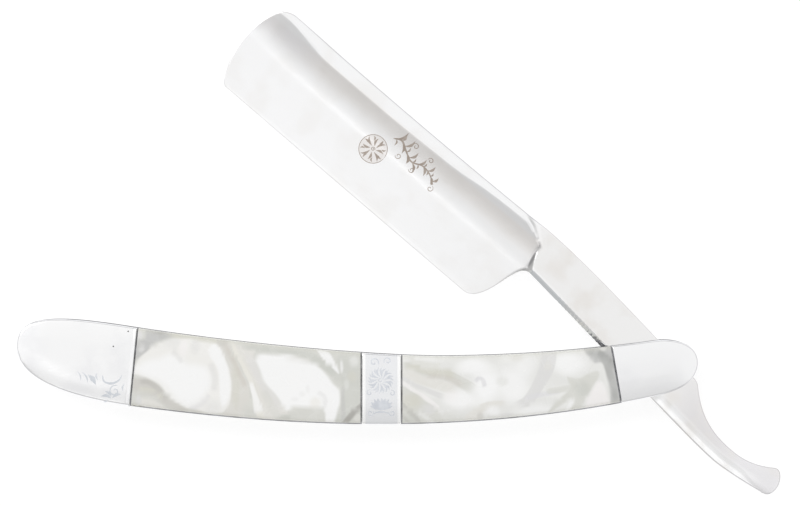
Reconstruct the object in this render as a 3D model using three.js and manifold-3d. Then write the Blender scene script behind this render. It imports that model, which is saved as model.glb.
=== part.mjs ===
// A folding straight razor with a hollow-ground blade and bolstered, inlaid scales, in millimetres.
//
// Frame: the origin is on the pivot axis, in the plane of the back scale's flat outer land, on which the
// closed or open razor lies. +Z points up out of the front scale, the handle runs from the pivot along -X,
// and the blade swings in the XY plane on the +Y side of the handle.

import * as THREE from "three";
import { mergeVertices } from "three/addons/utils/BufferGeometryUtils.js";
import Module from "manifold-3d";

const wasm = await Module();
wasm.setup();

// ---------------------------------------------------------------- driving dimensions

const BLADE_ANGLE = -40.35; // degrees: the opened blade against the handle's X axis

// Layers of the handle, from the middle plane outwards.
const SLOT = 4.5; // clear width between the two liners
const LINER_THICK = 0.8;
const SCALE_THICK = 2.4; // bolsters, band and inlays
const STACK = SLOT + 2 * (LINER_THICK + SCALE_THICK);
const SCALE_INSET = 0.15; // the liners stand this far proud of the scale pieces at the rim
const ROLL_WIDTH = 3.0; // the rolled edge of a scale piece, across
const ROLL_DEPTH = 1.1; // and down
const JOINT_GAP = 0.25; // hairline between a bolster or band and its inlay

// Lines where one scale piece ends and the next begins: X on the axis, and its lean in X per mm of Y.
const WEDGE_JOINT = { x: -118.52, lean: 0.099 };
const BAND_WEDGE_SIDE = { x: -66.9, lean: 0 };
const BAND_PIVOT_SIDE = { x: -57.7, lean: 0 };
const PIVOT_JOINT = { x: -9.26, lean: -0.174 };

// Pins and rivets. Bores are this much wider in radius than what goes through them.
const FIT = 0.05;
const RUNNING_FIT = 0.08;
const PIVOT_RADIUS = 1.5;
const PIVOT_HEAD_RADIUS = 2.2;
const WEDGE_PIN_RADIUS = 1.0;
const WEDGE_PIN_HEAD_RADIUS = 1.5;
const HEAD_DEPTH = 0.6; // each pin is peened into a countersink and polished flush
const RIVET_RADIUS = 0.8;
const WEDGE_PIN_CENTRES = [[-138.5, 3.6], [-127.0, 1.7]];
const BAND_RIVET_CENTRES = [[-62.3, -1.2], [-62.3, -7.6]];
const BOLSTER_RIVET_CENTRE = [-5.8, -0.5];
const WASHER_RADIUS = 4.0;
const WASHER_THICK = 0.2;
const WEDGE_INNER_END = -122.2; // X where the wedge stops, clear of the closed blade's toe

// Blade, in its own frame: the pivot is the origin, +X runs out along the tail and +Y to the spine.
const TANG_THICK = 4.0;
const TAIL_END_THICK = 2.8;
const TANG_EDGE = 0.7; // rounding of the tang's and tail's long edges
const SPINE_Y = 8.6; // just past the highest point of the back
const RIDGE_Y = 5.3; // where the blade is thickest
const RIDGE_HALF = 2.9;
const BACK_HALF = 1.3; // half width of the back itself
const BACK_DEPTH = 0.9; // and how far down it keeps that width
const HOLLOW_Y = -2.9; // the hollow grind runs out into the thin web here
const HOLLOW_HALF = 0.7;
const EDGE_Y = -14.75;
const EDGE_HALF = 0.08;
const TOE_CENTRE = [-100.35, -3.1];
const TOE_RADIUS = 20;
const SHOULDER_X = -40.2; // the thick spine ends here against the tang
const JIMP_FIRST_X = -10.5;
const JIMP_PITCH = 1.1;
const JIMP_COUNT = 16;
const JIMP_DEPTH = 0.35;

const ROUND_SEGMENTS = 24;
const CURVE_SEGMENTS = 8;

// ---------------------------------------------------------------- materials

const steel = new THREE.MeshStandardMaterial({ color: 0xe9e9ea, roughness: 0.12, metalness: 1 });
const bladeSteel = new THREE.MeshStandardMaterial({ color: 0xe4e4e6, roughness: 0.1, metalness: 1 });
const linerSteel = new THREE.MeshStandardMaterial({ color: 0xb9b9bb, roughness: 0.35, metalness: 1 });
const brass = new THREE.MeshStandardMaterial({ color: 0xc9a557, roughness: 0.3, metalness: 1 });
const pearl = new THREE.MeshStandardMaterial({ color: 0xeeeee9, roughness: 0.18, metalness: 0 });

// ---------------------------------------------------------------- making and cutting solids

function solidOf(geometry) {
  const bare = new THREE.BufferGeometry();
  bare.setAttribute("position", geometry.getAttribute("position"));
  if (geometry.index) bare.setIndex(geometry.index);
  const merged = mergeVertices(bare, 1e-4);
  return new wasm.Manifold(
    new wasm.Mesh({
      numProp: 3,
      vertProperties: merged.attributes.position.array,
      triVerts: new Uint32Array(merged.index.array),
    }),
  );
}

function geometryOf(solid) {
  const mesh = solid.getMesh();
  const geometry = new THREE.BufferGeometry();
  geometry.setAttribute("position", new THREE.BufferAttribute(mesh.vertProperties, 3));
  geometry.setIndex(new THREE.BufferAttribute(mesh.triVerts, 1));
  geometry.computeVertexNormals();
  return geometry;
}

// A plan shape made solid from z = low to z = high.
function plate(shape, low, high, curveSegments = CURVE_SEGMENTS) {
  const options = { depth: high - low, bevelEnabled: false, curveSegments };
  return solidOf(new THREE.ExtrudeGeometry(shape, options).translate(0, 0, low));
}

function polygon(points) {
  return new THREE.Shape(points.map(([x, y]) => new THREE.Vector2(x, y)));
}

// A straight pin along Z, centred on the origin, with a flush countersunk head at each end.
function pinGeometry(radius, headRadius, halfLength, ease = 0) {
  const end = halfLength + (ease ? 1 : 0); // a cutter runs past the faces it opens
  const neck = halfLength - HEAD_DEPTH;
  const profile = [
    [0, -end],
    [headRadius + ease, -end],
    [headRadius + ease, -halfLength],
    [radius + ease, -neck],
    [radius + ease, neck],
    [headRadius + ease, halfLength],
    [headRadius + ease, end],
    [0, end],
  ].map(([r, z]) => new THREE.Vector2(r, z));
  const distinct = profile.filter((p, i) => i === 0 || p.distanceTo(profile[i - 1]) > 1e-6);
  return new THREE.LatheGeometry(distinct, ROUND_SEGMENTS).rotateX(Math.PI / 2);
}

function rod(radius, low, high) {
  const length = high - low;
  const geometry = new THREE.CylinderGeometry(radius, radius, length, ROUND_SEGMENTS);
  return geometry.rotateX(Math.PI / 2).translate(0, 0, (low + high) / 2);
}

function meshOf(name, geometry, material) {
  const mesh = new THREE.Mesh(geometry, material);
  mesh.name = name;
  return mesh;
}

// ---------------------------------------------------------------- handle

// The plan outline that liners and scale pieces share: a long shallow bow, broad and blunt at the wedge
// end and narrower round the pivot.
function handleOutline() {
  const outline = new THREE.Shape();
  outline.moveTo(0, 6.6);
  outline.bezierCurveTo(-17.0, 4.2, -33.0, 3.05, -50.0, 3.05);
  outline.bezierCurveTo(-68.0, 3.3, -97.0, 6.2, -118.3, 9.5);
  outline.bezierCurveTo(-137.0, 12.5, -145.2, 12.6, -145.2, 5.2);
  outline.bezierCurveTo(-145.2, -2.2, -134.0, -6.4, -118.3, -8.5);
  outline.bezierCurveTo(-78.9, -13.84, -39.4, -14.7, 0, -6.1);
  outline.bezierCurveTo(4.5, -5.15, 9.65, -3.2, 9.65, 1.6);
  outline.bezierCurveTo(9.65, 5.8, 4.5, 7.1, 0, 6.6);
  return outline;
}

// One whole scale with a rolled rim: its inner face at z = 0 and its flat outer land at SCALE_THICK.
function wholeScale() {
  const wall = SCALE_THICK - ROLL_DEPTH;
  const geometry = new THREE.ExtrudeGeometry(handleOutline(), {
    depth: 2 * wall,
    bevelSize: ROLL_WIDTH,
    bevelOffset: -ROLL_WIDTH - SCALE_INSET,
    bevelThickness: ROLL_DEPTH,
    bevelSegments: 3,
    curveSegments: CURVE_SEGMENTS,
  }).translate(0, 0, -wall);
  const aboveLiner = new THREE.BoxGeometry(200, 60, SCALE_THICK + 1).translate(-60, 0, (SCALE_THICK + 1) / 2);
  return solidOf(geometry).intersect(solidOf(aboveLiner));
}

// The part of the plan between two joint lines, each held back by half the hairline gap.
function planBetween(from, to) {
  const reach = 20;
  const lineX = (joint, y) => joint.x + joint.lean * y;
  const low = from ? (y) => lineX(from, y) + JOINT_GAP / 2 : () => -160;
  const high = to ? (y) => lineX(to, y) - JOINT_GAP / 2 : () => 20;
  return polygon([
    [low(-reach), -reach],
    [high(-reach), -reach],
    [high(reach), reach],
    [low(reach), reach],
  ]);
}

// Every hole through a side of the handle, as one cutter in that side's frame.
function sideHoles() {
  const half = STACK / 2;
  const holes = [solidOf(pinGeometry(PIVOT_RADIUS, PIVOT_HEAD_RADIUS, half, FIT))];
  for (const [x, y] of WEDGE_PIN_CENTRES) {
    const cutter = pinGeometry(WEDGE_PIN_RADIUS, WEDGE_PIN_HEAD_RADIUS, half, FIT);
    holes.push(solidOf(cutter.translate(x, y, 0)));
  }
  for (const [x, y] of [...BAND_RIVET_CENTRES, BOLSTER_RIVET_CENTRE]) {
    holes.push(solidOf(rod(RIVET_RADIUS + FIT, 0, half + 1).translate(x, y, 0)));
  }
  return holes.reduce((all, hole) => all.add(hole));
}

// One side of the handle. Every piece is made above the middle plane and, for the back, mirrored below it.
function handleSide(side) {
  const group = new THREE.Group();
  const place = (name, solid, material) => {
    const sided = side === "back" ? solid.mirror([0, 0, 1]) : solid;
    group.add(meshOf(`${side}_${name}`, geometryOf(sided), material));
  };
  const linerIn = SLOT / 2;
  const linerOut = linerIn + LINER_THICK;
  const holes = sideHoles();
  place("liner", plate(handleOutline(), linerIn, linerOut).subtract(holes), linerSteel);

  const scale = wholeScale().translate(0, 0, linerOut);
  const pieces = [
    ["wedge_bolster", null, WEDGE_JOINT, steel],
    ["long_inlay", WEDGE_JOINT, BAND_WEDGE_SIDE, pearl],
    ["centre_band", BAND_WEDGE_SIDE, BAND_PIVOT_SIDE, steel],
    ["short_inlay", BAND_PIVOT_SIDE, PIVOT_JOINT, pearl],
    ["pivot_bolster", PIVOT_JOINT, null, steel],
  ];
  for (const [name, from, to, material] of pieces) {
    const cut = plate(planBetween(from, to), linerOut - 1, linerOut + SCALE_THICK + 1);
    place(name, scale.intersect(cut).subtract(holes), material);
  }

  const rivet = solidOf(rod(RIVET_RADIUS, linerIn, STACK / 2));
  BAND_RIVET_CENTRES.forEach(([x, y], i) => place(`band_rivet_${i + 1}`, rivet.translate(x, y, 0), steel));
  place("bolster_rivet", rivet.translate(...BOLSTER_RIVET_CENTRE, 0), steel);

  const washer = solidOf(rod(WASHER_RADIUS, linerIn - WASHER_THICK, linerIn));
  const washerHole = solidOf(rod(PIVOT_RADIUS + FIT, 0, STACK));
  place("pivot_washer", washer.subtract(washerHole), brass);
  return group;
}

// The spacer that holds the scales apart at the blunt end.
function wedge() {
  const end = polygon([[-160, -20], [WEDGE_INNER_END, -20], [WEDGE_INNER_END, 20], [-160, 20]]);
  const blank = plate(handleOutline(), -SLOT / 2, SLOT / 2).intersect(plate(end, -SLOT, SLOT));
  const holes = WEDGE_PIN_CENTRES.map(([x, y]) =>
    solidOf(rod(WEDGE_PIN_RADIUS + FIT, -SLOT, SLOT).translate(x, y, 0)),
  );
  return geometryOf(holes.reduce((left, hole) => left.subtract(hole), blank));
}

function handle() {
  const group = new THREE.Group();
  group.add(handleSide("front"), handleSide("back"));
  group.add(meshOf("wedge", wedge(), steel));
  group.add(meshOf("pivot_pin", pinGeometry(PIVOT_RADIUS, PIVOT_HEAD_RADIUS, STACK / 2), steel));
  WEDGE_PIN_CENTRES.forEach(([x, y], i) => {
    const pin = pinGeometry(WEDGE_PIN_RADIUS, WEDGE_PIN_HEAD_RADIUS, STACK / 2);
    const mesh = meshOf(`wedge_pin_${i + 1}`, pin, steel);
    mesh.position.set(x, y, 0);
    group.add(mesh);
  });
  return group;
}

// ---------------------------------------------------------------- blade

// The tang's back, from the blade's shoulder to the corner above the tail.
function followTangBack(path) {
  path.bezierCurveTo(-28.0, 8.25, -16.0, 6.95, 7.5, 4.3);
  path.bezierCurveTo(8.6, 4.2, 9.2, 4.0, 9.9, 3.5);
}

// The tail: the finger's hollow, the flared end, and back along the underside of the tang.
function followTail(path) {
  path.bezierCurveTo(14.0, -0.6, 18.5, -2.9, 25.5, -2.75);
  path.bezierCurveTo(29.5, -2.75, 32.6, -1.4, 35.3, 0.5);
  path.bezierCurveTo(36.5, 1.3, 37.9, 0.2, 38.6, -1.9);
  path.bezierCurveTo(38.95, -3.2, 38.9, -5.6, 36.8, -5.75);
  path.bezierCurveTo(33.0, -6.45, 28.5, -7.2, 24.0, -7.4);
  path.bezierCurveTo(19.0, -7.3, 13.0, -6.7, 8.0, -6.2);
}

// The blade, tang and tail in plan.
function bladeOutline() {
  const outline = new THREE.Shape();
  const [toeX, toeY] = TOE_CENTRE;
  const angle = (y) => Math.PI - Math.asin((y - toeY) / TOE_RADIUS);
  outline.moveTo(-39.0, 8.42);
  followTangBack(outline);
  followTail(outline);
  outline.lineTo(-36.0, -1.8);
  outline.bezierCurveTo(-37.7, -2.0, -38.2, -3.4, -39.0, -5.7); // shoulder
  outline.bezierCurveTo(-40.4, -10.9, -41.7, -14.7, -45.0, EDGE_Y); // heel
  outline.lineTo(-115.4, EDGE_Y + 0.15);
  outline.bezierCurveTo(-116.4, EDGE_Y + 0.2, -117.0, -14.2, toeX - 16.95, -13.72);
  outline.absarc(toeX, toeY, TOE_RADIUS, angle(-13.72), angle(6.6), true);
  outline.bezierCurveTo(-117.0, 8.0, -115.8, 8.4, -113.5, 8.4);
  outline.bezierCurveTo(-90.0, 7.95, -62.0, 7.85, -39.0, 8.42);
  return outline;
}

// The tang and tail alone. Their end at the blade is the S-shaped line where the hollow grind stops.
function tangOutline() {
  const outline = new THREE.Shape();
  outline.moveTo(-40.4, 8.4);
  followTangBack(outline);
  followTail(outline);
  outline.lineTo(-36.0, -1.8);
  outline.bezierCurveTo(-36.9, -1.2, -36.6, 0.2, -37.0, 1.6);
  outline.bezierCurveTo(-37.4, 3.2, -38.3, 4.6, -38.4, 5.3);
  outline.lineTo(-40.4, 6.0);
  return outline;
}

// Cross-section of the blade, back at the top, as (y, z) points: a faceted back, the ridge, the hollow's
// arc and the thin web down to the edge.
function bladeSection() {
  const run = RIDGE_Y - HOLLOW_Y;
  const rise = RIDGE_HALF - HOLLOW_HALF;
  const radius = (run * run + rise * rise) / (2 * rise);
  const steps = 7;
  const half = [[SPINE_Y, BACK_HALF], [SPINE_Y - BACK_DEPTH, BACK_HALF]];
  for (let i = 0; i <= steps; i++) {
    const y = RIDGE_Y - (run * i) / steps;
    const dip = radius - Math.sqrt(radius * radius - (y - HOLLOW_Y) ** 2);
    half.push([y, HOLLOW_HALF + dip]);
  }
  half.push([EDGE_Y, EDGE_HALF]);
  const other = half.map(([y, z]) => [y, -z]).reverse();
  return polygon([...half, ...other].reverse());
}

// The ground part of the blade, between the shoulder and the toe.
function groundBlade() {
  const length = 90;
  const alongX = new THREE.Matrix4().makeBasis(
    new THREE.Vector3(0, 1, 0),
    new THREE.Vector3(0, 0, 1),
    new THREE.Vector3(1, 0, 0),
  );
  const bar = new THREE.ExtrudeGeometry(bladeSection(), { depth: length, bevelEnabled: false });
  bar.applyMatrix4(alongX).translate(-length - 34, 0, 0);
  const underTang = -35.5;
  const groundPlan = polygon([
    [-130, -20],
    [underTang, -20],
    [underTang, -1.9],
    [-37.2, 5.0],
    [SHOULDER_X, 5.4],
    [SHOULDER_X, 12],
    [-130, 12],
  ]);
  return solidOf(bar)
    .intersect(plate(bladeOutline(), -5, 5, 10))
    .intersect(plate(groundPlan, -5, 5));
}

// The tang and tail, thinning along the tail.
function tang() {
  const half = TANG_THICK / 2;
  const geometry = new THREE.ExtrudeGeometry(tangOutline(), {
    depth: TANG_THICK - 2 * TANG_EDGE,
    bevelSize: TANG_EDGE,
    bevelOffset: -TANG_EDGE,
    bevelThickness: TANG_EDGE,
    bevelSegments: 2,
    curveSegments: CURVE_SEGMENTS,
  }).translate(0, 0, -half + TANG_EDGE);
  const end = TAIL_END_THICK / 2;
  const side = polygon([[-50, -half], [6, -half], [39, -end], [39, end], [6, half], [-50, half]]);
  const sideSolid = new THREE.ExtrudeGeometry(side, { depth: 40, bevelEnabled: false });
  sideSolid.rotateX(Math.PI / 2).translate(0, 20, 0);
  return solidOf(geometry).intersect(solidOf(sideSolid));
}

// Small transverse grip notches along the straight underside of the tang.
function jimps() {
  const undersideY = (x) => -6.2 + (8 - x) * 0.1;
  const side = JIMP_DEPTH * Math.SQRT2;
  const notches = [];
  for (let i = 0; i < JIMP_COUNT; i++) {
    const x = JIMP_FIRST_X - i * JIMP_PITCH;
    const bar = new THREE.BoxGeometry(side, side, 2 * TANG_THICK);
    notches.push(solidOf(bar.rotateZ(Math.PI / 4).translate(x, undersideY(x), 0)));
  }
  return notches.reduce((all, notch) => all.add(notch));
}

function blade() {
  const bore = solidOf(rod(PIVOT_RADIUS + RUNNING_FIT, -TANG_THICK, TANG_THICK));
  const solid = groundBlade().add(tang()).subtract(jimps()).subtract(bore);
  return meshOf("blade", geometryOf(solid), bladeSteel);
}

// ---------------------------------------------------------------- assembly

const razor = new THREE.Group();
razor.name = "straight_razor";

const scales = handle();
scales.position.z = STACK / 2;
razor.add(scales);

const openBlade = new THREE.Group();
openBlade.add(blade());
openBlade.rotation.z = THREE.MathUtils.degToRad(BLADE_ANGLE);
openBlade.position.z = STACK / 2;
razor.add(openBlade);

export default razor;
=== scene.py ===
import math

import bmesh
import bpy
import numpy as np
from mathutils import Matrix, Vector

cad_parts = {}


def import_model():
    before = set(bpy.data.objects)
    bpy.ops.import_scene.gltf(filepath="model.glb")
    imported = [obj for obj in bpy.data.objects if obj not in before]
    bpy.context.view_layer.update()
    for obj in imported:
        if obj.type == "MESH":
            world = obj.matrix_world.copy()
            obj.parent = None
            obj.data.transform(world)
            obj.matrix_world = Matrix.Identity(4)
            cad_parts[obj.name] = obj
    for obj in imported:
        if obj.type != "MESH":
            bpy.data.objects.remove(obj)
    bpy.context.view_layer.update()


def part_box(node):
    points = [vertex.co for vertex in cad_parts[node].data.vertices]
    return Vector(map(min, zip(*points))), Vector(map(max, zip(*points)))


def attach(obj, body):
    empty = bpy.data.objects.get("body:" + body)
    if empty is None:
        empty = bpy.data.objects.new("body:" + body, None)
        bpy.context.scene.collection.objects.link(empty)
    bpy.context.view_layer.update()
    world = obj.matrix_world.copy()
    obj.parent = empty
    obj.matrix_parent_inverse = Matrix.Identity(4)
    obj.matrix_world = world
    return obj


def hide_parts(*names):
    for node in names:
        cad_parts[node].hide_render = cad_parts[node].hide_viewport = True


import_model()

# A folding straight razor, half open, lying on its back scale. Shapes below are worked out in millimetres
# in the frame's own axes: the pivot is the origin in plan and +Z comes out of the front scale. The blade is
# shaped in its own frame, where +X runs out along the tail and +Y to the back, and is then turned.

MM = 0.001

# ---- sizes that the frame gives


def z_range(node):
    """Lowest and highest z of a CAD node, in millimetres."""
    low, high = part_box(node)
    return low.z / MM, high.z / MM


STACK = z_range("pivot_pin")[1]
MIDDLE = STACK / 2
SLOT_HALF = z_range("front_liner")[0] - MIDDLE
LINER_OUT = z_range("front_liner")[1] - MIDDLE
SCALE_OUT = z_range("front_long_inlay")[1] - MIDDLE
SCALE_TOP = SCALE_OUT - 0.03  # the face itself; engraved marks may stand a little above it
WASHER_IN = z_range("front_pivot_washer")[0] - MIDDLE
WEDGE_END_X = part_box("wedge")[1].x / MM


def centre_of(node):
    """Plan centre of a CAD node, in millimetres."""
    low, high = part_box(node)
    return ((low.x + high.x) / 2 / MM, (low.y + high.y) / 2 / MM)


# ---- sizes of the handle

# Lines where one scale piece ends and the next begins: X on the axis, and its lean in X per mm of Y.
WEDGE_JOINT = (-118.52, 0.099)
BAND_WEDGE_SIDE = (-66.9, 0.0)
BAND_PIVOT_SIDE = (-57.7, 0.0)
BAND_MIDDLE = (BAND_WEDGE_SIDE[0] + BAND_PIVOT_SIDE[0]) / 2
BAND_HALF = (BAND_PIVOT_SIDE[0] - BAND_WEDGE_SIDE[0]) / 2
PIVOT_JOINT = (-9.26, -0.174)
JOINT_GAP = 0.3
JOINT_ROUND = 0.14  # softened edge of a pearl piece at its joint
METAL_JOINT_ROUND = 0.3
BEAD_LINE = (0.66, 0.17, 0.07)  # a scribed line beside the wedge bolster's joint: place, width, depth
METAL_INSET = 0.06  # bolsters and bands stop this far inside the liner's edge
INLAY_INSET = 0.18
INLAY_LIFT = 0.15  # and sit this much nearer the upper edge, so that the liner shows more below
METAL_CROWN = (6.0, 0.42)  # a scale piece falls gently toward the rim: across, and down
INLAY_CROWN = (4.0, 0.45)
METAL_ROLL = (0.34, 0.5)  # and its edge is rolled over: across, and down
INLAY_ROLL = (0.7, 0.6)
CROWN_POWER = 2.2
SKIN = 0.3  # metal left over the blind end of a pin or rivet
PIVOT_RADIUS = 1.5
WEDGE_PIN_RADIUS = 1.0
RIVET_RADIUS = 0.8
WASHER_RADIUS = 4.0
PIN_FIT = 0.03
PIN_SIDES = 64
PIN_ROUND = 0.15  # softened edges
LINER_ROUND = 0.06
WASHER_ROUND = 0.05
AXIS = 1e-4  # radius at a turned piece's axis
WEDGE_INSET = 0.35
SIDES = {"front": 1, "back": -1}
SHARP_ANGLE = 35  # degrees from which on an edge shows as a crease
BLADE_SHARP_ANGLE = 30
HOLE_SIDES = 96
OVERCUT = 1  # a cutter reaches this far past what it cuts

# ---- sizes of the blade

BLADE_ANGLE = math.radians(-40.35)
# Y of the ridge, where the blade is thickest, and of the line where the hollow runs out into the thin web.
RIDGE_LINE = [(-119, 7.05), (-113, 6.75), (-108, 6.0), (-103, 5.3), (-95, 5.2), (-82, 5.15), (-71, 5.4),
              (-63, 5.7), (-56, 6.4), (-49, 6.75), (-40, 6.95)]
HOLLOW_LINE = [(-119, -2.2), (-113, -2.8), (-98, -3.1), (-40, -3.1)]
HOLLOW_RADIUS = 30.0
RIDGE_SOFT = 0.45
MARK_CENTRE = (-81.4, -3.4)  # the etched rosette, in the blade's frame
MARK_RADIUS = 3.25
FLANK_SLOPE = 0.34  # the flank falls this much per mm from the ridge to the back
HOLLOW_HALF = 0.74
EDGE_Y = -14.7
WEB_EDGE_HALF = 0.1  # half thickness of the web at the honed bevel
HONED_WIDTH = 0.8
KEEN_HALF = 0.03
TOE_CENTRE = (-100.35, -3.1)
TOE_RADIUS = 20.0
TOE_BACK_ROUND = 2.5
TOE_EDGE_ROUND = 0.8
TANG_HALF = 2.0
TAIL_END_HALF = 1.4
TAIL_START_X = 6.0
TAIL_END_X = 39.0
BORE_RADIUS = 1.58
JIMP_FIRST_X = -10.5
JIMP_PITCH = 1.1
JIMP_COUNT = 16
JIMP_DEPTH = 0.08
SHOULDER_X = -36.5  # about where the tang's straight underside begins
BEVEL_WIDTH = 1.03
TAIL_TIP_X = 36.8  # where the outlines of back and underside meet

# ---- curves


def bezier(points, count):
    """A cubic curve's points, the first one left out so that curves can follow each other."""
    t = np.linspace(0, 1, count + 1)[1:, None]
    p = np.asarray(points, float)
    return (1 - t) ** 3 * p[0] + 3 * (1 - t) ** 2 * t * p[1] + 3 * (1 - t) * t**2 * p[2] + t**3 * p[3]


CURVE_POINTS = 40


def path(start, *pieces):
    """Curves and straight lines joined end to end, each one given as the points after its start."""
    points = [np.asarray([start], float)]
    for piece in pieces:
        corner = points[-1][-1]
        if len(piece) == 1:
            points.append(np.asarray(piece, float))
        else:
            points.append(bezier([corner, *piece], CURVE_POINTS))
    return np.concatenate(points)


def flow(points, count=10):
    """A smooth curve through the points."""
    p = np.asarray(points, float)
    p = np.concatenate([[2 * p[0] - p[1]], p, [2 * p[-1] - p[-2]]])
    t = np.linspace(0, 1, count, endpoint=False)[:, None]
    parts = []
    for a, b, c, d in zip(p, p[1:], p[2:], p[3:]):
        curve = 2 * b + (c - a) * t + (2 * a - 5 * b + 4 * c - d) * t**2 + (3 * b - a - 3 * c + d) * t**3
        parts.append(curve / 2)
    return np.concatenate([*parts, [p[-2]]])


def along(curve, fractions):
    """Points at these fractions of a curve's length."""
    step = np.hypot(*np.diff(curve, axis=0).T)
    length = np.concatenate([[0], np.cumsum(step)])
    at = np.asarray(fractions) * length[-1]
    return np.stack([np.interp(at, length, curve[:, k]) for k in (0, 1)], axis=-1)


def closed(ring):
    """A ring with its first point again at its end."""
    return np.concatenate([ring, ring[:1]])


def inset(curve, amount):
    """A curve moved to its left by amount."""
    run = np.gradient(curve, axis=0)
    run /= np.hypot(run[:, 0], run[:, 1])[:, None]
    return curve + amount * np.stack([-run[:, 1], run[:, 0]], axis=-1)


def height_at(curve, x):
    """y of a curve that runs along X, at x."""
    order = np.argsort(curve[:, 0])
    return np.interp(x, curve[order, 0], curve[order, 1])


def distance_to(curve, points):
    """Distance from each point to a polyline, and the nearest place on it as a fractional index."""
    a, b = curve[:-1], curve[1:]
    ab = b - a
    squared = np.maximum((ab**2).sum(1), 1e-12)
    distance = np.empty(len(points))
    place = np.empty(len(points))
    for low in range(0, len(points), 2000):
        p = points[low : low + 2000, None, :]
        t = np.clip(((p - a) * ab).sum(2) / squared, 0, 1)
        gap = p - (a + t[..., None] * ab)
        d = np.hypot(gap[..., 0], gap[..., 1])
        best = d.argmin(1)
        rows = np.arange(len(best))
        distance[low : low + 2000] = d[rows, best]
        place[low : low + 2000] = best + t[rows, best]
    return distance, place


def roll(distance, across, down):
    """How far a rolled edge has dropped, at a distance from the rim: a quarter of an ellipse."""
    rest = np.clip((across - distance) / np.maximum(across, 1e-9), 0, 1)
    return down * (1 - np.sqrt(1 - rest**2))


def smooth(x):
    """An eased step from 0 to 1."""
    x = np.clip(x, 0, 1)
    return x * x * (3 - 2 * x)


# ---- meshes and pieces


def add_object(name, data):
    """A new object in the scene."""
    piece = bpy.data.objects.new(name, data)
    bpy.context.scene.collection.objects.link(piece)
    return piece


def new_mesh(name, vertices, faces):
    """A mesh from vertices in millimetres."""
    mesh = bpy.data.meshes.new(name)
    mesh.from_pydata((np.asarray(vertices) * MM).tolist(), [], faces)
    return mesh


def new_piece(name, vertices, faces, material, body, slot, nodes=(), sharp=SHARP_ANGLE):
    """A mesh piece that rides on a body and stands for some CAD nodes."""
    mesh = new_mesh(name, vertices, faces)
    mesh.validate()
    work = bmesh.new()
    work.from_mesh(mesh)
    bmesh.ops.recalc_face_normals(work, faces=work.faces)
    work.to_mesh(mesh)
    work.free()
    shade(mesh, sharp)
    mesh.materials.append(material)
    piece = add_object(name, mesh)
    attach(piece, body)
    if nodes:
        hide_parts(*nodes)
    return piece


def shade(mesh, sharp):
    """Smooth shading, with a crease where faces meet at more than an angle in degrees."""
    mesh.shade_smooth()
    mesh.set_sharp_from_angle(angle=math.radians(sharp))


def cut_holes(piece, holes, sharp=SHARP_ANGLE):
    """Cuts round holes, each (x, y, radius, low z, high z), out of a piece."""
    for x, y, radius, low, high in holes:
        ring = circle(radius, HOLE_SIDES) + [x, y]
        cutter = add_object("cutter", new_mesh("cutter", *prism_mesh(ring, [(0, low), (0, high)])))
        cut = piece.modifiers.new("hole", "BOOLEAN")
        cut.operation = "DIFFERENCE"
        cut.solver = "MANIFOLD"
        cut.object = cutter
        graph = bpy.context.evaluated_depsgraph_get()
        result = bpy.data.meshes.new_from_object(piece.evaluated_get(graph))
        piece.modifiers.clear()
        material = piece.data.materials[0]
        piece.data = result
        piece.data.materials.clear()
        piece.data.materials.append(material)
        bpy.data.objects.remove(cutter)
    shade(piece.data, sharp)


def drill(piece, holes, low, high):
    """Cuts the hole of each pin (x, y, radius), a little wider than the pin, from low to high."""
    cut_holes(piece, [(x, y, radius + PIN_FIT, low, high) for x, y, radius in holes])


def circle(radius, count):
    turn = np.linspace(0, 2 * np.pi, count, endpoint=False)
    return radius * np.stack([np.cos(turn), np.sin(turn)], axis=-1)


def row_of(number, count):
    """Numbers of the vertices in one closed row."""
    return list(range(number * count, (number + 1) * count))


def wall(row, other):
    """Quads that join two closed rows of vertices."""
    following = zip([*row[1:], row[0]], [*other[1:], other[0]])
    return [[a, b, d, c] for a, c, (b, d) in zip(row, other, following)]


def prism_mesh(ring, levels):
    """A closed prism over an anticlockwise ring. Each level is (inset, z), from the bottom up."""
    around = np.concatenate([ring[-1:], ring, ring[:1]])
    count = len(ring)
    vertices = []
    faces = [row_of(0, count)[::-1]]
    for number, (amount, z) in enumerate(levels):
        loop = inset(around, amount)[1:-1]
        vertices.append(np.column_stack([loop, np.full(count, z)]))
        if number:
            faces += wall(row_of(number - 1, count), row_of(number, count))
    faces.append(row_of(len(levels) - 1, count))
    return np.concatenate(vertices), faces


def lathe_mesh(profile, count):
    """A closed solid of revolution about Z. The profile, (radius, z) from the bottom up, is closed too."""
    turn = np.linspace(0, 2 * np.pi, count, endpoint=False)
    vertices = [(r * math.cos(a), r * math.sin(a), z) for r, z in profile for a in turn]
    faces = []
    for number in range(len(profile)):
        faces += wall(row_of(number, count), row_of((number + 1) % len(profile), count))
    return np.asarray(vertices), faces


def sheet_faces(rows, columns, first=0, flip=False):
    """Quads of a grid whose vertices are numbered row by row."""
    faces = []
    for i in range(rows - 1):
        for j in range(columns - 1):
            a = first + i * columns + j
            quad = [a, a + columns, a + columns + 1, a + 1]
            faces.append(quad[::-1] if flip else quad)
    return faces


def rim_of(rows, columns):
    """Indices of a grid's boundary, once round."""
    bottom = [i * columns for i in range(rows)]
    right = [(rows - 1) * columns + j for j in range(1, columns)]
    top = [i * columns + columns - 1 for i in range(rows - 2, -1, -1)]
    left = list(range(columns - 2, 0, -1))
    return bottom + right + top + left


# ---- materials


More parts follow.
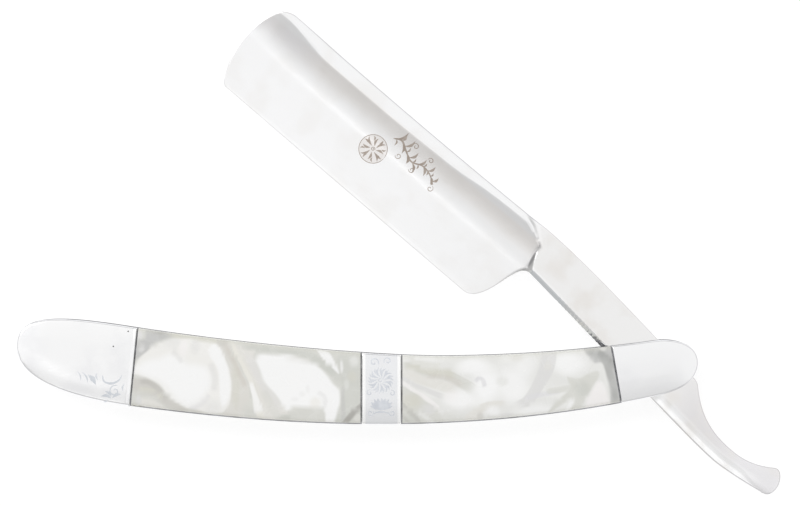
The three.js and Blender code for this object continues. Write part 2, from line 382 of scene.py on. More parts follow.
class Nodes:
    """Adds nodes to a node tree; every value may be a number, a colour or another node's output."""

    def __init__(self, tree):
        self.tree = tree

    def put(self, value, socket):
        if isinstance(value, bpy.types.NodeSocket):
            self.tree.links.new(value, socket)
        elif isinstance(value, tuple) and socket.type == "RGBA":
            socket.default_value = (*value, 1)
        else:
            socket.default_value = value

    def add(self, kind, inputs=(), **settings):
        node = self.tree.nodes.new(kind)
        for key, value in settings.items():
            setattr(node, key, value)
        for key, value in dict(inputs).items():
            self.put(value, node.inputs[key])
        return node

    def math(self, operation, a, b=0.0, clamp=False):
        node = self.add("ShaderNodeMath", {0: a, 1: b}, operation=operation, use_clamp=clamp)
        return node.outputs[0]

    def times(self, a, b):
        return self.math("MULTIPLY", a, b)

    def length(self, x, y):
        return self.math("SQRT", self.math("ADD", self.times(x, x), self.times(y, y)))

    def painted(self, attribute, output="Fac"):
        """What was painted on the vertices."""
        return self.add("ShaderNodeAttribute", attribute_name=attribute).outputs[output]

    def mix(self, factor, a, b):
        node = self.add("ShaderNodeMix", data_type="RGBA")
        for key, value in (("Factor_Float", factor), ("A_Color", a), ("B_Color", b)):
            self.put(value, next(s for s in node.inputs if s.identifier == key))
        return next(s for s in node.outputs if s.identifier == "Result_Color")

    def layer(self, color, *tints):
        """A colour under others, each laid over it as (amount, colour)."""
        for amount, tint in tints:
            color = self.mix(amount, color, tint)
        return color

    def steps(self, value, low, high, out_low=0.0, out_high=1.0):
        """A smooth step from out_low to out_high while value goes from low to high."""
        inputs = enumerate((value, low, high, out_low, out_high))
        node = self.add("ShaderNodeMapRange", inputs, interpolation_type="SMOOTHSTEP")
        return node.outputs[0]

    def noise(self, vector, scale, detail=3.0, rough=0.5, distortion=0.0):
        inputs = {"Vector": vector, "Scale": scale, "Detail": detail}
        inputs |= {"Roughness": rough, "Distortion": distortion}
        return self.add("ShaderNodeTexNoise", inputs).outputs["Fac"]

    def place(self, turn=0.0, scale=(1, 1, 1)):
        """Object position in millimetres, turned about Z and stretched."""
        position = self.add("ShaderNodeTexCoord").outputs["Object"]
        inputs = {"Vector": position, "Rotation": (0, 0, turn), "Scale": (1000, 1000, 1000)}
        flat = self.add("ShaderNodeMapping", inputs).outputs[0]
        if scale == (1, 1, 1):
            return flat
        return self.add("ShaderNodeMapping", {"Vector": flat, "Scale": scale}).outputs[0]

    def bump(self, height, strength):
        inputs = {"Height": height, "Strength": strength, "Distance": BUMP_DISTANCE * MM}
        return self.add("ShaderNodeBump", inputs).outputs[0]


BUMP_DISTANCE = 0.01


def new_material(name):
    """A material, its node helper and its main shader."""
    material = bpy.data.materials.new(name)
    material.use_nodes = True
    nodes = Nodes(material.node_tree)
    return material, nodes, material.node_tree.nodes["Principled BSDF"]


def dress(nodes, shader, **inputs):
    """Sets inputs of the main shader."""
    for key, value in inputs.items():
        nodes.put(value, shader.inputs[key.replace("_", " ")])


def dress_metal(nodes, shader, color, rough, marks, strength):
    """What all the metals share: marks is the height of their fine marks."""
    dress(nodes, shader, Base_Color=color, Metallic=1.0, Roughness=rough)
    dress(nodes, shader, Normal=nodes.bump(marks, strength))


def brushed(nodes, turn, fine, run):
    """Fine marks that run along one direction, as a height between 0 and 1."""
    stretched = nodes.place(turn, (run, fine, fine))
    return nodes.noise(stretched, 1.0, 4.0, 0.65)


def blade_steel():
    """Polished steel, a little warmer in the hollow and duller on the tang and the tail.

    Painted on the vertices are a painted highlight in bright strips along the tail and above the tang's
    flat,
    "bevel", the flat along the tang's underside, painted a cooler grey for the bluish light that it
    mirrors, and painted shade in the corner at the shoulder.
    """
    material, nodes, shader = new_material("blade_steel")
    place = nodes.place(-BLADE_ANGLE)
    along_blade, across_blade, _ = nodes.add("ShaderNodeSeparateXYZ", {0: place}).outputs
    on_tang = nodes.steps(along_blade, -40.0, -36.0)
    on_tail = nodes.steps(along_blade, 2.0, 16.0)
    below_ridge = nodes.steps(across_blade, 4.4, 5.4, 0.8, 0.0)
    in_hollow = nodes.times(nodes.steps(across_blade, -0.5, 3.0), below_ridge)
    warm = nodes.mix(nodes.steps(along_blade, -112.0, -100.0), (0.885, 0.87, 0.88), (0.93, 0.90, 0.875))
    from_x = nodes.math("SUBTRACT", along_blade, MARK_CENTRE[0])
    from_y = nodes.math("SUBTRACT", across_blade, MARK_CENTRE[1])
    reach = nodes.length(from_x, from_y)
    on_mark = nodes.steps(reach, MARK_RADIUS + 0.1, MARK_RADIUS - 0.3)
    cloud = nodes.noise(place, 0.12, 3.0, 0.5)
    stain = nodes.times(nodes.steps(cloud, 0.45, 0.7), nodes.steps(on_tang, 0.0, 1.0, 0.25, 0.75))
    color = nodes.layer(
        (0.925, 0.925, 0.93),
        (in_hollow, warm),
        (on_tang, (0.89, 0.885, 0.88)),
        (on_tail, (0.77, 0.755, 0.76)),
        (nodes.steps(along_blade, 18.0, 30.0), (0.84, 0.83, 0.845)),
        # painted highlight: bright strips along the tail's underside and above the tang's flat
        (nodes.painted("painted_highlight"), (0.99, 0.99, 0.995)),
        # painted reflection: the tang's underside flat is painted a cooler, bluish grey for the light it
        # mirrors
        (nodes.painted("bevel"), (0.84, 0.865, 0.885)),
        (nodes.times(on_mark, 0.75), (0.80, 0.765, 0.745)),
        (stain, (0.82, 0.795, 0.765)),
        # painted shade: a dark line in the corner at the shoulder
        (nodes.times(nodes.painted("shoulder_shade"), 0.6), (0.22, 0.22, 0.23)),
    )
    marks = brushed(nodes, -BLADE_ANGLE, 9.0, 0.35)
    dress_metal(nodes, shader, color, nodes.steps(marks, 0.3, 0.7, 0.1, 0.19), marks, 0.12)
    return material


def bolster_metal():
    """Bright plated metal with a slight blue cast where it turns away."""
    material, nodes, shader = new_material("bolster_metal")
    place = nodes.place()
    away = nodes.add("ShaderNodeLayerWeight", {"Blend": 0.35}).outputs["Facing"]
    x = nodes.add("ShaderNodeSeparateXYZ", {0: place}).outputs[0]
    from_middle = nodes.math("ABSOLUTE", nodes.math("SUBTRACT", x, BAND_MIDDLE))
    highlight_starts = nodes.steps(from_middle, BAND_HALF - 1.15, BAND_HALF - 0.8)
    highlight_ends = nodes.steps(from_middle, BAND_HALF + 0.5, BAND_HALF + 0.1)
    cloud = nodes.noise(place, 0.13, 3.0, 0.5)
    color = nodes.layer(
        (0.94, 0.94, 0.942),
        # painted highlight: the wedge bolster's tip is painted whiter
        (nodes.steps(x, -138.0, -143.0), (0.985, 0.985, 0.99)),
        (nodes.steps(x, -80.0, -72.0), (0.86, 0.868, 0.882)),
        (nodes.steps(x, -40.0, -30.0), (0.905, 0.905, 0.91)),
        (nodes.times(away, 0.6), (0.80, 0.81, 0.86)),
        (nodes.steps(cloud, 0.45, 0.75, 0.0, 0.4), (0.80, 0.80, 0.82)),
        # painted highlight: a whiter strip along each edge of the centre band
        (nodes.times(highlight_starts, highlight_ends), (1.0, 1.0, 0.995)),
    )
    marks = brushed(nodes, 0.0, 7.0, 0.5)
    dress_metal(nodes, shader, color, nodes.steps(marks, 0.3, 0.7, 0.12, 0.2), marks, 0.1)
    return material


def turned_metal(name, color, worn, low, high, size):
    """Metal with cloudy wear; low and high are its smoothest and roughest finish."""
    material, nodes, shader = new_material(name)
    place = nodes.place()
    cloud = nodes.noise(place, size, 5.0, 0.6)
    tint = nodes.mix(nodes.steps(cloud, 0.35, 0.7), color, worn)
    dress_metal(nodes, shader, tint, nodes.steps(cloud, 0.3, 0.7, low, high), nodes.noise(place, 6.0), 0.1)
    return material


def pearl():
    """Cast pearl: the broad swirls and painted shade at the rim are a painted attribute, the fine silky
    ones are made here.
    """
    material, nodes, shader = new_material("pearl")
    place = nodes.place()
    silk = nodes.noise(place, 0.25, 3.0, 0.45, 0.6)
    fine = nodes.noise(place, 0.9, 3.0, 0.5, 0.3)
    color = nodes.layer(
        nodes.painted("swirl_and_rim_shade", "Color"),
        (nodes.steps(silk, 0.35, 0.75, 0.0, 0.12), (0.94, 0.94, 0.93)),
        (nodes.steps(fine, 0.5, 0.8, 0.0, 0.05), (0.76, 0.75, 0.71)),
    )
    dress(nodes, shader, Base_Color=color, Roughness=nodes.steps(silk, 0.3, 0.7, 0.16, 0.3))
    dress(nodes, shader, Coat_Weight=0.5, Coat_Roughness=0.06, IOR=1.5)
    return material


def floor_paper():
    """Matt white paper, lit from below as well so that shadows stay faint."""
    material, nodes, shader = new_material("floor_paper")
    place = nodes.place()
    grain = nodes.noise(place, 0.8, 3.0)
    color = nodes.mix(grain, (0.34, 0.34, 0.34), (0.36, 0.36, 0.36))
    dress(nodes, shader, Base_Color=color, Roughness=0.95)
    dress(nodes, shader, Emission_Color=(1.0, 1.0, 1.0), Emission_Strength=0.75)
    return material


BLADE_STEEL = blade_steel()
BOLSTER_METAL = bolster_metal()
# The liners are real steel, painted darker than the other metals as painted shade for the thin dark line
# along the handle's edges.
LINER_METAL = turned_metal("liner_metal", (0.42, 0.42, 0.44), (0.3, 0.3, 0.31), 0.25, 0.45, 0.4)
PIN_METAL = turned_metal("pin_metal", (0.8, 0.8, 0.82), (0.65, 0.65, 0.66), 0.18, 0.3, 0.9)
WEDGE_METAL = turned_metal("wedge_metal", (0.82, 0.82, 0.83), (0.7, 0.7, 0.71), 0.18, 0.32, 0.5)
BRASS = turned_metal("washer_brass", (0.80, 0.62, 0.32), (0.6, 0.44, 0.22), 0.25, 0.45, 0.9)
PEARL = pearl()
ETCH = turned_metal("etch_residue", (0.40, 0.34, 0.295), (0.56, 0.50, 0.45), 0.45, 0.7, 0.8)
SOFT_GREY, PALE_GREY = (0.64, 0.665, 0.71), (0.74, 0.76, 0.795)
SOFT_ENGRAVED = turned_metal("soft_engraved_metal", SOFT_GREY, PALE_GREY, 0.3, 0.45, 0.5)
DARK_DOT_METAL = turned_metal("dark_dot_metal", (0.12, 0.12, 0.12), (0.22, 0.22, 0.22), 0.5, 0.7, 2.0)
ENGRAVED = turned_metal("engraved_metal", (0.66, 0.69, 0.73), (0.76, 0.78, 0.81), 0.3, 0.45, 0.6)

# ---- pearl swirls


def paint(piece, attribute, colors):
    """Stores a colour per vertex for a material to use."""
    layer = piece.data.color_attributes.new(attribute, "FLOAT_COLOR", "POINT")
    flat = np.column_stack([colors, np.ones(len(colors))]).ravel()
    layer.data.foreach_set("color", flat.astype(np.float32))


def paint_amount(piece, attribute, amount):
    """Stores one number per vertex, as a grey."""
    paint(piece, attribute, np.tile(amount[:, None], (1, 3)))


STONE = (0.715, 0.715, 0.67)
SHELL = (0.845, 0.845, 0.82)
WHITE = (0.975, 0.975, 0.97)
MILK = (0.905, 0.895, 0.865)
PINK_WHITE = (0.95, 0.925, 0.915)
CREAM = (0.85, 0.83, 0.765)
IVORY = (0.80, 0.785, 0.74)
SAND = (0.745, 0.73, 0.685)
OLIVE = (0.69, 0.68, 0.60)
TAN = (0.62, 0.58, 0.52)
BROWN = (0.42, 0.41, 0.38)
UMBER = (0.645, 0.63, 0.59)
ASH = (0.54, 0.54, 0.53)
MIST = (0.76, 0.755, 0.745)
MOSS = (0.62, 0.63, 0.585)
LAVENDER = (0.755, 0.75, 0.765)
SMOKE = (0.46, 0.465, 0.45)
SOOT = (0.30, 0.30, 0.29)
LATTICE = np.random.default_rng(11).random((64, 64))


def cloud(x, y):
    """Smooth random values between 0 and 1 over a plane, one cell to a unit."""
    i, j = np.floor(x).astype(int), np.floor(y).astype(int)
    fx, fy = smooth(x - i), smooth(y - j)
    i, j = i % 64, j % 64
    k, m = (i + 1) % 64, (j + 1) % 64
    low = LATTICE[i, j] * (1 - fx) + LATTICE[k, j] * fx
    high = LATTICE[i, m] * (1 - fx) + LATTICE[k, m] * fx
    return low * (1 - fy) + high * fy


def inside(outline, points):
    """Which points lie inside a closed outline."""
    x, y = points.T
    odd = np.zeros(len(points), bool)
    for a, b in zip(outline, np.roll(outline, -1, axis=0)):
        if a[1] != b[1]:
            crosses = (a[1] > y) != (b[1] > y)
            odd ^= crosses & (x < a[0] + (b[0] - a[0]) * (y - a[1]) / (b[1] - a[1]))
    return odd


def pairs(numbers):
    """Points from numbers written x, y, x, y and so on."""
    return np.reshape(np.asarray(numbers, float), (-1, 2))


# Each swirl is a colour, the low and high corners of the box that it fits in, and a function that gives its
# strength at points in plan.


def lobe(color, strength, soft, corners):
    """A soft-edged patch inside a smooth closed curve."""
    corners = pairs(corners)
    outline = flow([*corners, corners[0]], 8)[:-1]

    def mask(plan):
        distance, _ = distance_to(closed(outline), plan)
        out = np.where(inside(outline, plan), -distance, distance)
        return strength * (1 - smooth(out / soft + 0.5))

    return color, outline.min(0) - soft, outline.max(0) + soft, mask


def streak(color, strength, widths, soft, corners):
    """A soft band along a curve: half widths at its start and end, softness on its left and right."""
    line = along(flow(pairs(corners)), np.linspace(0, 1, 30))

    def mask(plan):
        distance, place = distance_to(line, plan)
        index = np.minimum(place.astype(int), len(line) - 2)
        run, away = line[index + 1] - line[index], plan - line[index]
        on_left = run[:, 0] * away[:, 1] - run[:, 1] * away[:, 0] > 0
        part = place / (len(line) - 1)
        half = widths[0] + (widths[1] - widths[0]) * part
        edge = np.where(on_left, soft[0], soft[1])
        ends = smooth(part / 0.16) * smooth((1 - part) / 0.16)
        silk = cloud(part * 4 + 50 * widths[0], np.where(on_left, distance, -distance) * 1.8 + 20)
        return strength * ends * (0.78 + 0.35 * silk) * (1 - smooth((distance - half) / edge))

    reach = max(widths) + max(soft)
    return color, line.min(0) - reach, line.max(0) + reach, mask


def spot(color, strength, centre, radii):
    """A soft oval patch."""

    def mask(plan):
        reach = np.hypot(*((plan - centre) / radii).T)
        return strength * (1 - smooth((reach - 0.3) / 0.8))

    span = 1.2 * np.asarray(radii)
    return color, np.subtract(centre, span), np.add(centre, span), mask


# The swirls of the long inlay, each one laid over those before it.
LONG_PANEL = [
    lobe(ASH, 0.95, 1.0, [-118.4, 2.2, -118, 6.2, -116, 6.9, -115.2, 9.4, -111.4, 9.2, -109, 8, -111.6, 6.9,
        -113.6, 6.1, -114.8, 4.8, -115.8, 3.3]),
    lobe(MILK, 1.0, 0.8, [-118.4, -0.8, -117.4, 2.2, -115.4, 4, -113.6, 5.5, -110.8, 6.7, -107, 7.6,
        -103.4, 7.2, -100.4, 6.6, -98.6, 4.8, -97.6, 2.6, -96.8, 0, -96.35, -3, -96.3, -6, -96.9, -8.2,
        -98.2, -9.7, -101, -9.9, -104, -9.5, -106.6, -8.7, -109.2, -7.2, -111.2, -5.2, -113.2, -3.2,
        -115.6, -1.8]),
    lobe(WHITE, 1.0, 2.4, [-118.4, 0.4, -115.6, 1.7, -112.8, 2.4, -110.4, 3.3, -108.4, 2.6, -106.4, 1.2,
        -103.8, 0.9, -101.6, 0, -100.9, -3, -102.2, -5.6, -104.2, -7.6, -106.4, -8.3, -108.6, -6.9,
        -110.4, -4.8, -113, -2.6, -116, -1.4]),
    lobe(WHITE, 0.95, 0.8, [-101.6, 4.6, -100.1, 5.7, -98.6, 4.3, -97.6, 1.8, -96.9, -1.4, -96.7, -5,
        -97.3, -7.4, -98.4, -8.4, -98.9, -6, -98.9, -2.6, -99.6, 0.6, -101, 2.8]),
    streak(MIST, 0.5, (0.15, 0.25), (1.0, 0.9), [-101.2, 1.8, -100.3, -0.6, -99.9, -2.6, -100.4, -5.4]),
    streak(LAVENDER, 0.55, (0.1, 0.1), (0.8, 0.8), [-101.2, -5.6, -102.4, -7.1, -104.2, -8.4, -106.2, -9]),
    streak(MIST, 0.5, (0.1, 0.1), (0.7, 1.0), [-109.9, 4.2, -108.6, 3.2, -107.3, 1.4]),
    spot(MIST, 0.5, (-104.4, 5.2), (1.5, 2.4)),
    spot(MIST, 0.4, (-109.6, 6.2), (3.0, 1.4)),
    spot(PINK_WHITE, 0.8, (-107.2, 4.8), (1.4, 2.6)),
    spot(MIST, 0.35, (-100.6, -8.4), (2.6, 1.8)),
    streak(OLIVE, 0.8, (0.3, 0.4), (0.6, 0.8), [-111.2, 8.3, -108, 7.8, -103, 7.1, -98, 6.3]),
    spot(MIST, 1.0, (-117.1, 7.9), (1.0, 1.5)),
    spot(MIST, 0.7, (-116.7, 4.5), (0.9, 0.9)),
    spot(SOOT, 0.4, (-112.8, 8.4), (2.0, 0.8)),
    lobe(UMBER, 1.0, 0.9, [-118.6, -1.8, -115.9, -2, -113.9, -2.9, -112.2, -4.3, -110.9, -5.9, -109, -7.4,
        -106.8, -8.7, -103.6, -9.4, -101.6, -10.4, -107, -10.2, -109.8, -9.1, -111.7, -7.9, -113.4, -6.5,
        -115.4, -5.7, -118.6, -5.2]),
    spot(STONE, 0.6, (-105.4, -9.7), (3.0, 1.1)),
    streak(OLIVE, 0.8, (0.25, 0.3), (0.4, 0.5), [-117.8, -4.2, -115.6, -4.6, -113.4, -5.2, -111.6, -6.8]),
    streak(BROWN, 0.35, (0.2, 0.3), (0.4, 0.7), [-117.8, -2.6, -114.8, -3, -112.6, -4.8, -110.8, -6.9]),
    lobe(IVORY, 1.0, 0.6, [-116.7, -6.5, -114.8, -6.6, -113.2, -7.4, -110.9, -9, -112.4, -9.6, -115.6, -9,
        -117.2, -8.6]),
    spot(MIST, 0.7, (-117.5, -7.2), (0.8, 1.7)),
    lobe(SAND, 1.0, 0.5, [-100.1, 7, -98.6, 4.9, -97.6, 2.6, -96.8, 0, -96.35, -3, -96.3, -6, -96.9, -8.4,
        -98.4, -10.6, -94, -11.4, -92.6, -8.4, -92.4, -6, -92.7, -4, -93.5, -1.6, -94.7, 1.4, -96.2, 4.4,
        -97.2, 6.6]),
    spot(OLIVE, 0.6, (-95.4, -3.0), (1.2, 8.5)),
    spot(UMBER, 0.95, (-98.4, 6.2), (1.5, 1.6)),
    streak(TAN, 0.5, (0.1, 0.2), (0.4, 1.0), [-98, 6.2, -96.4, 3.5, -95.2, 1, -94.2, -1.4, -93.5, -3.6,
        -93.3, -5.2]),
    spot(STONE, 0.6, (-92.9, -9.2), (1.3, 2.4)),
    lobe(IVORY, 1.0, 0.7, [-96.2, 5.8, -91, 5.2, -91.3, 3.4, -90.9, 1.6, -90.1, -0.5, -88.7, -3.2,
        -87, -5.4, -85.2, -7.7, -83.2, -10, -82.6, -12, -88.8, -12, -89.4, -9.4, -90.2, -6.4, -91.1, -3.6,
        -92.2, -1, -93.8, 2]),
    streak(LAVENDER, 0.35, (0.3, 0.4), (0.9, 0.9), [-93, 4.8, -91.6, 1.4, -90.2, -1.8, -88.6, -4.4,
        -86.6, -7.2, -84.4, -10]),
    streak(STONE, 0.6, (0.4, 0.6), (0.7, 0.7), [-89.2, -4.4, -88, -7, -86.8, -9.4, -85, -11.4]),
    spot(MOSS, 0.9, (-83.8, -11.0), (3.0, 1.0)),
    streak(CREAM, 1.0, (0.15, 0.7), (0.35, 0.35), [-97.4, 7.4, -95.4, 4.4, -93.7, 1.2, -92.5, -1.6,
        -91.6, -4.2, -90.8, -6.8, -90, -9.6, -89, -13]),
    streak(WHITE, 0.85, (0.2, 0.9), (0.4, 0.4), [-92.3, -2.6, -91.5, -4.8, -90.7, -7.2, -89.9, -10.2]),
    lobe(WHITE, 1.0, 1.0, [-91.2, 2.9, -89.4, 3.5, -86, 3.4, -82.6, 3, -79.4, 2.1, -76.6, 0.4, -74.6, -1.4,
        -73.2, -3.2, -71.9, -4.8, -71.7, -7.2, -72.2, -9.4, -72.9, -12, -75, -12, -75.2, -9.6, -77.6, -9,
        -81.6, -8.6, -83.6, -9.3, -85.2, -7.4, -87, -5.1, -88.8, -2.8, -90, 0]),
    lobe(STONE, 0.9, 0.7, [-82.6, -9.6, -80.6, -8.9, -78, -9.1, -75.7, -8.8, -75.3, -10.4, -75.8, -13,
        -82.4, -13]),
    spot(CREAM, 0.5, (-77.3, -7.4), (1.8, 1.6)),
    spot(SAND, 0.35, (-81.0, 2.4), (4.0, 0.9)),
    streak(MIST, 0.45, (0.1, 0.15), (0.6, 0.8), [-77, -5, -75.6, -5.8, -75.1, -7, -75.2, -8.6]),
    spot(MIST, 0.22, (-79.0, -4.4), (0.7, 1.2)),
    spot(MIST, 0.22, (-80.4, -5.5), (0.9, 0.9)),
    spot(MIST, 0.22, (-82.0, -6.7), (1.2, 0.7)),
    streak(MOSS, 0.9, (0.25, 0.75), (0.4, 0.6), [-96, 5.6, -91.6, 5, -86.6, 4.5, -82.6, 4.1, -79.2, 3.4,
        -76.6, 1.9, -74.6, 0.5, -72.6, -1, -70.8, -3.4]),
    spot(MOSS, 0.8, (-80.0, 4.3), (2.6, 0.7)),
    lobe(MOSS, 0.6, 0.9, [-71.2, 4.6, -65.5, 4.6, -65.5, -13.4, -72.4, -13, -72, -9.6, -71.3, -7.6,
        -71.1, -5.4, -71.6, -3, -71.2, -1, -72.4, 1.6]),
    lobe(WHITE, 0.9, 0.5, [-77, 4.4, -74, 3.8, -72.5, 0.8, -72, -1, -73.8, 0.8, -75.6, 2.5]),
    spot(WHITE, 0.7, (-71.35, 0.6), (0.5, 1.9)),
    spot(SHELL, 0.7, (-68.4, 1.9), (1.5, 1.5)),
    spot(OLIVE, 0.5, (-69.0, -1.6), (1.6, 1.6)),
    spot(SHELL, 0.45, (-70.2, -3.4), (0.8, 1.6)),
    streak(ASH, 0.5, (0.2, 0.3), (0.5, 0.5), [-71, -3.4, -70.9, -7.4, -70.8, -12.6]),
    spot(IVORY, 0.6, (-67.7, -10.9), (1.1, 1.5)),
    streak(BROWN, 1.0, (0.3, 0.4), (0.5, 0.6), [-71.4, -13.6, -69.4, -10.8, -68, -9.2, -65.6, -7.6]),
]


# The swirls of the short inlay.
SHORT_PANEL = [
    spot(WHITE, 0.9, (-41.4, 0.6), (4.6, 2.6)),
    spot(WHITE, 1.0, (-38.6, -3.8), (4.2, 5.4)),
    spot(WHITE, 0.9, (-44.4, -6.9), (5.0, 2.6)),
    spot(WHITE, 0.85, (-32.6, -3.6), (4.8, 5.8)),
    spot(WHITE, 0.7, (-26.6, -9.4), (6.0, 2.2)),
    spot(WHITE, 0.9, (-20.0, 1.4), (5.6, 3.4)),
    spot(WHITE, 0.5, (-29.4, 1.0), (3.0, 3.4)),
    streak(SHELL, 0.7, (0.5, 0.4), (0.4, 0.6), [-52, 1.7, -48.6, 2.4, -44, 3, -40, 3.2]),
    streak(OLIVE, 0.35, (0.6, 0.5), (0.5, 0.6), [-56.4, 1.9, -52.6, 1, -48.4, 0.6]),
    streak(WHITE, 0.5, (0.3, 0.2), (0.4, 0.4), [-55.4, 2.8, -52.6, 2.6, -49.6, 2.3]),
    streak(IVORY, 0.9, (0.9, 0.7), (0.7, 0.7), [-59.2, -0.2, -55, -1.4, -51.4, -2.8, -47.4, -4,
        -44.4, -4.6]),
    streak(STONE, 1.0, (0.3, 0.95), (0.25, 0.9), [-59.4, 1.9, -57.2, 1.3, -55.2, 0.7, -53.4, -0.1,
        -51, -0.7, -48.2, -1.2, -45.8, -1.8, -43.8, -3, -41, -5]),
    streak(OLIVE, 0.8, (0.3, 0.5), (0.3, 0.7), [-57.6, 1.4, -54.4, 0.3, -51.4, -0.5, -47.6, -1,
        -44.8, -1.5]),
    streak(TAN, 0.45, (0.2, 0.5), (0.5, 0.7), [-52.6, -1.4, -49.2, -1.7, -46.2, -2.5, -43.4, -3.9]),
    spot(PINK_WHITE, 0.5, (-46.6, -6.0), (2.4, 1.8)),
    streak(MIST, 0.85, (0.25, 0.4), (0.3, 0.5), [-58.6, -1.5, -56, -2.7, -53.6, -3.8, -51.2, -4.9,
        -47.6, -6.2]),
    lobe(STONE, 1.0, 0.5, [-58.8, -3.2, -56.3, -4.4, -54, -5.9, -52.4, -7.1, -50.6, -8.1, -49.3, -9.6,
        -48.4, -13.2, -58.8, -13.4]),
    streak(PINK_WHITE, 0.7, (0.25, 0.4), (0.3, 0.3), [-58.8, -2.4, -56.6, -3.5, -54.6, -4.9, -52.4, -6.2,
        -50.4, -7.8, -48.4, -10]),
    spot(OLIVE, 0.75, (-55.6, -7.0), (3.0, 2.2)),
    spot(MIST, 0.8, (-51.6, -8.9), (2.2, 1.6)),
    spot(MOSS, 0.6, (-55.4, -11.4), (3.2, 1.8)),
    streak(BROWN, 0.4, (0.25, 0.25), (0.4, 0.5), [-58.8, -6.4, -56.8, -8.5, -55.2, -10.2, -53, -13]),
    streak(BROWN, 0.3, (0.2, 0.2), (0.3, 0.4), [-58.6, -9, -57.2, -10.6, -55.6, -13]),
    streak(SHELL, 0.7, (0.25, 0.3), (0.4, 0.4), [-54.4, -9.4, -52.6, -10.6, -50.2, -12.2]),
    spot(STONE, 0.5, (-46.6, -11.0), (5.0, 1.4)),
    streak(LAVENDER, 0.8, (0.15, 0.25), (0.5, 0.6), [-41.4, -3.2, -40.4, -2.2, -39.4, -2.5, -38.8, -4.4]),
    spot(SHELL, 0.9, (-34.9, -2.6), (1.9, 1.4)),
    streak(IVORY, 0.95, (1.0, 0.3), (0.5, 0.6), [-44, -12, -41.2, -10.4, -39.6, -9, -37.4, -8.1,
        -33.6, -7.6]),
    spot(UMBER, 0.8, (-39.9, -10.7), (1.1, 1.1)),
    spot(WHITE, 0.7, (-36.9, -9.4), (2.2, 1.3)),
    spot(MIST, 0.8, (-33.9, -10.3), (2.0, 0.7)),
    spot(IVORY, 0.6, (-31.6, 2.6), (2.4, 1.2)),
    streak(MIST, 1.0, (1.7, 0.7), (0.5, 0.5), [-24.4, 6.4, -24.5, 2.6, -24.9, 0, -26.3, -2.6, -27.8, -5.2,
        -29.4, -7.2, -32.6, -8.6]),
    spot(IVORY, 0.6, (-24.5, 0.7), (1.2, 1.4)),
    streak(LAVENDER, 0.7, (0.3, 0.3), (0.5, 0.5), [-30.4, -6.6, -27.4, -5.9, -24.4, -5.5, -21.4, -4.9]),
    streak(STONE, 0.7, (0.3, 0.6), (0.5, 0.4), [-25.6, -5.2, -22.6, -4.8, -20.2, -4.5, -17.6, -4.4]),
    lobe(STONE, 1.0, 0.8, [-20.2, -1.8, -17.6, -2, -15.6, -1, -13.4, -0.2, -13.2, -2, -14.4, -3.8,
        -15.6, -5.8, -16.6, -7.6, -18, -10, -19.6, -10, -18.4, -7.4, -19, -6.6, -21.4, -8, -24.4, -9.8,
        -23, -7.6, -20.6, -5.6, -19.4, -4.2, -20, -3]),
    spot(MOSS, 0.8, (-16.8, -4.4), (2.4, 2.4)),
    streak(WHITE, 0.6, (0.25, 0.2), (0.4, 0.4), [-21, -10.2, -19.9, -8.8, -18.8, -7]),
    lobe(PINK_WHITE, 0.9, 1.2, [-14.6, -4.8, -13.2, -2.8, -11.8, -3.4, -11, -5.6, -10.4, -9.4, -15.6, -9.8,
        -15.8, -7]),
    lobe(ASH, 1.0, 0.8, [-17.2, 5.4, -9, 5.8, -8.4, 1, -7.6, -3, -6.6, -8.6, -9.7, -9, -10.3, -5, -11.1, -2,
        -12.2, 1.2, -14.2, 1.7, -15.2, 3]),
    streak(SMOKE, 1.0, (0.8, 0.6), (0.7, 0.7), [-15.6, 5.2, -13, 3.5, -11, 2.2, -8.6, 0.4]),
    streak(SOOT, 0.4, (0.4, 0.3), (0.5, 0.5), [-13.6, 4.4, -11.8, 2.9, -10, 1.4]),
    streak(SMOKE, 1.0, (0.6, 0.2), (0.5, 0.6), [-12, 3.2, -11, 0.8, -10.1, -1.8, -9.3, -4.2, -8.8, -7.6]),
    spot(SHELL, 0.8, (-13.0, 0.8), (1.1, 1.3)),
    spot(SHELL, 0.6, (-12.2, 4.6), (1.0, 0.5)),
]


def swirls_and_rim_shade(plan, base, pattern):
    """Broad colours of the pearl at points in plan, with painted shade that darkens it toward the rim."""
    x, y = plan.T
    shift_x = cloud(x / 3.2 + 9, y / 3.2) - 0.5
    shift_y = cloud(x / 3.2, y / 3.2 + 31) - 0.5
    moved = plan + 0.45 * np.column_stack([shift_x, shift_y])
    mottle = smooth((cloud(x / 3.4, y / 2.6 + 12) - 0.35) / 0.5)[:, None]
    color = np.tile(base, (len(plan), 1)) * (0.97 + 0.06 * mottle)
    for tint, low, high, mask in pattern:
        near = np.flatnonzero(((moved > low) & (moved < high)).all(1))
        amount = np.clip(mask(moved[near]), 0, 1)[:, None]
        color[near] += (np.asarray(tint) - color[near]) * amount
    # painted shade: the pearl is darkened toward its rim
    rim, _ = distance_to(closed(handle_ring(INLAY_INSET)), plan)
    shade = 0.4 * np.clip(1 - rim / 1.2, 0, 1)[:, None] ** 1.5
    return color + (np.asarray(OLIVE) - color) * shade


# ---- handle

UPPER_EDGE = path(
    (0, 6.6),
    [(-17.0, 4.2), (-33.0, 3.05), (-50.0, 3.05)],
    [(-68.0, 3.3), (-97.0, 6.2), (-118.3, 9.5)],
)
WEDGE_TIP = path(
    (-118.3, 9.5),
    [(-137.0, 12.5), (-145.2, 12.6), (-145.2, 5.2)],
    [(-145.2, -2.2), (-134.0, -6.4), (-118.3, -8.5)],
)
LOWER_EDGE = path((-118.3, -8.5), [(-78.9, -13.84), (-39.4, -14.7), (0, -6.1)])
PIVOT_TIP = path(
    (0, -6.1),
    [(4.5, -5.15), (9.65, -3.2), (9.65, 1.6)],
    [(9.65, 5.8), (4.5, 7.1), (0, 6.6)],
)


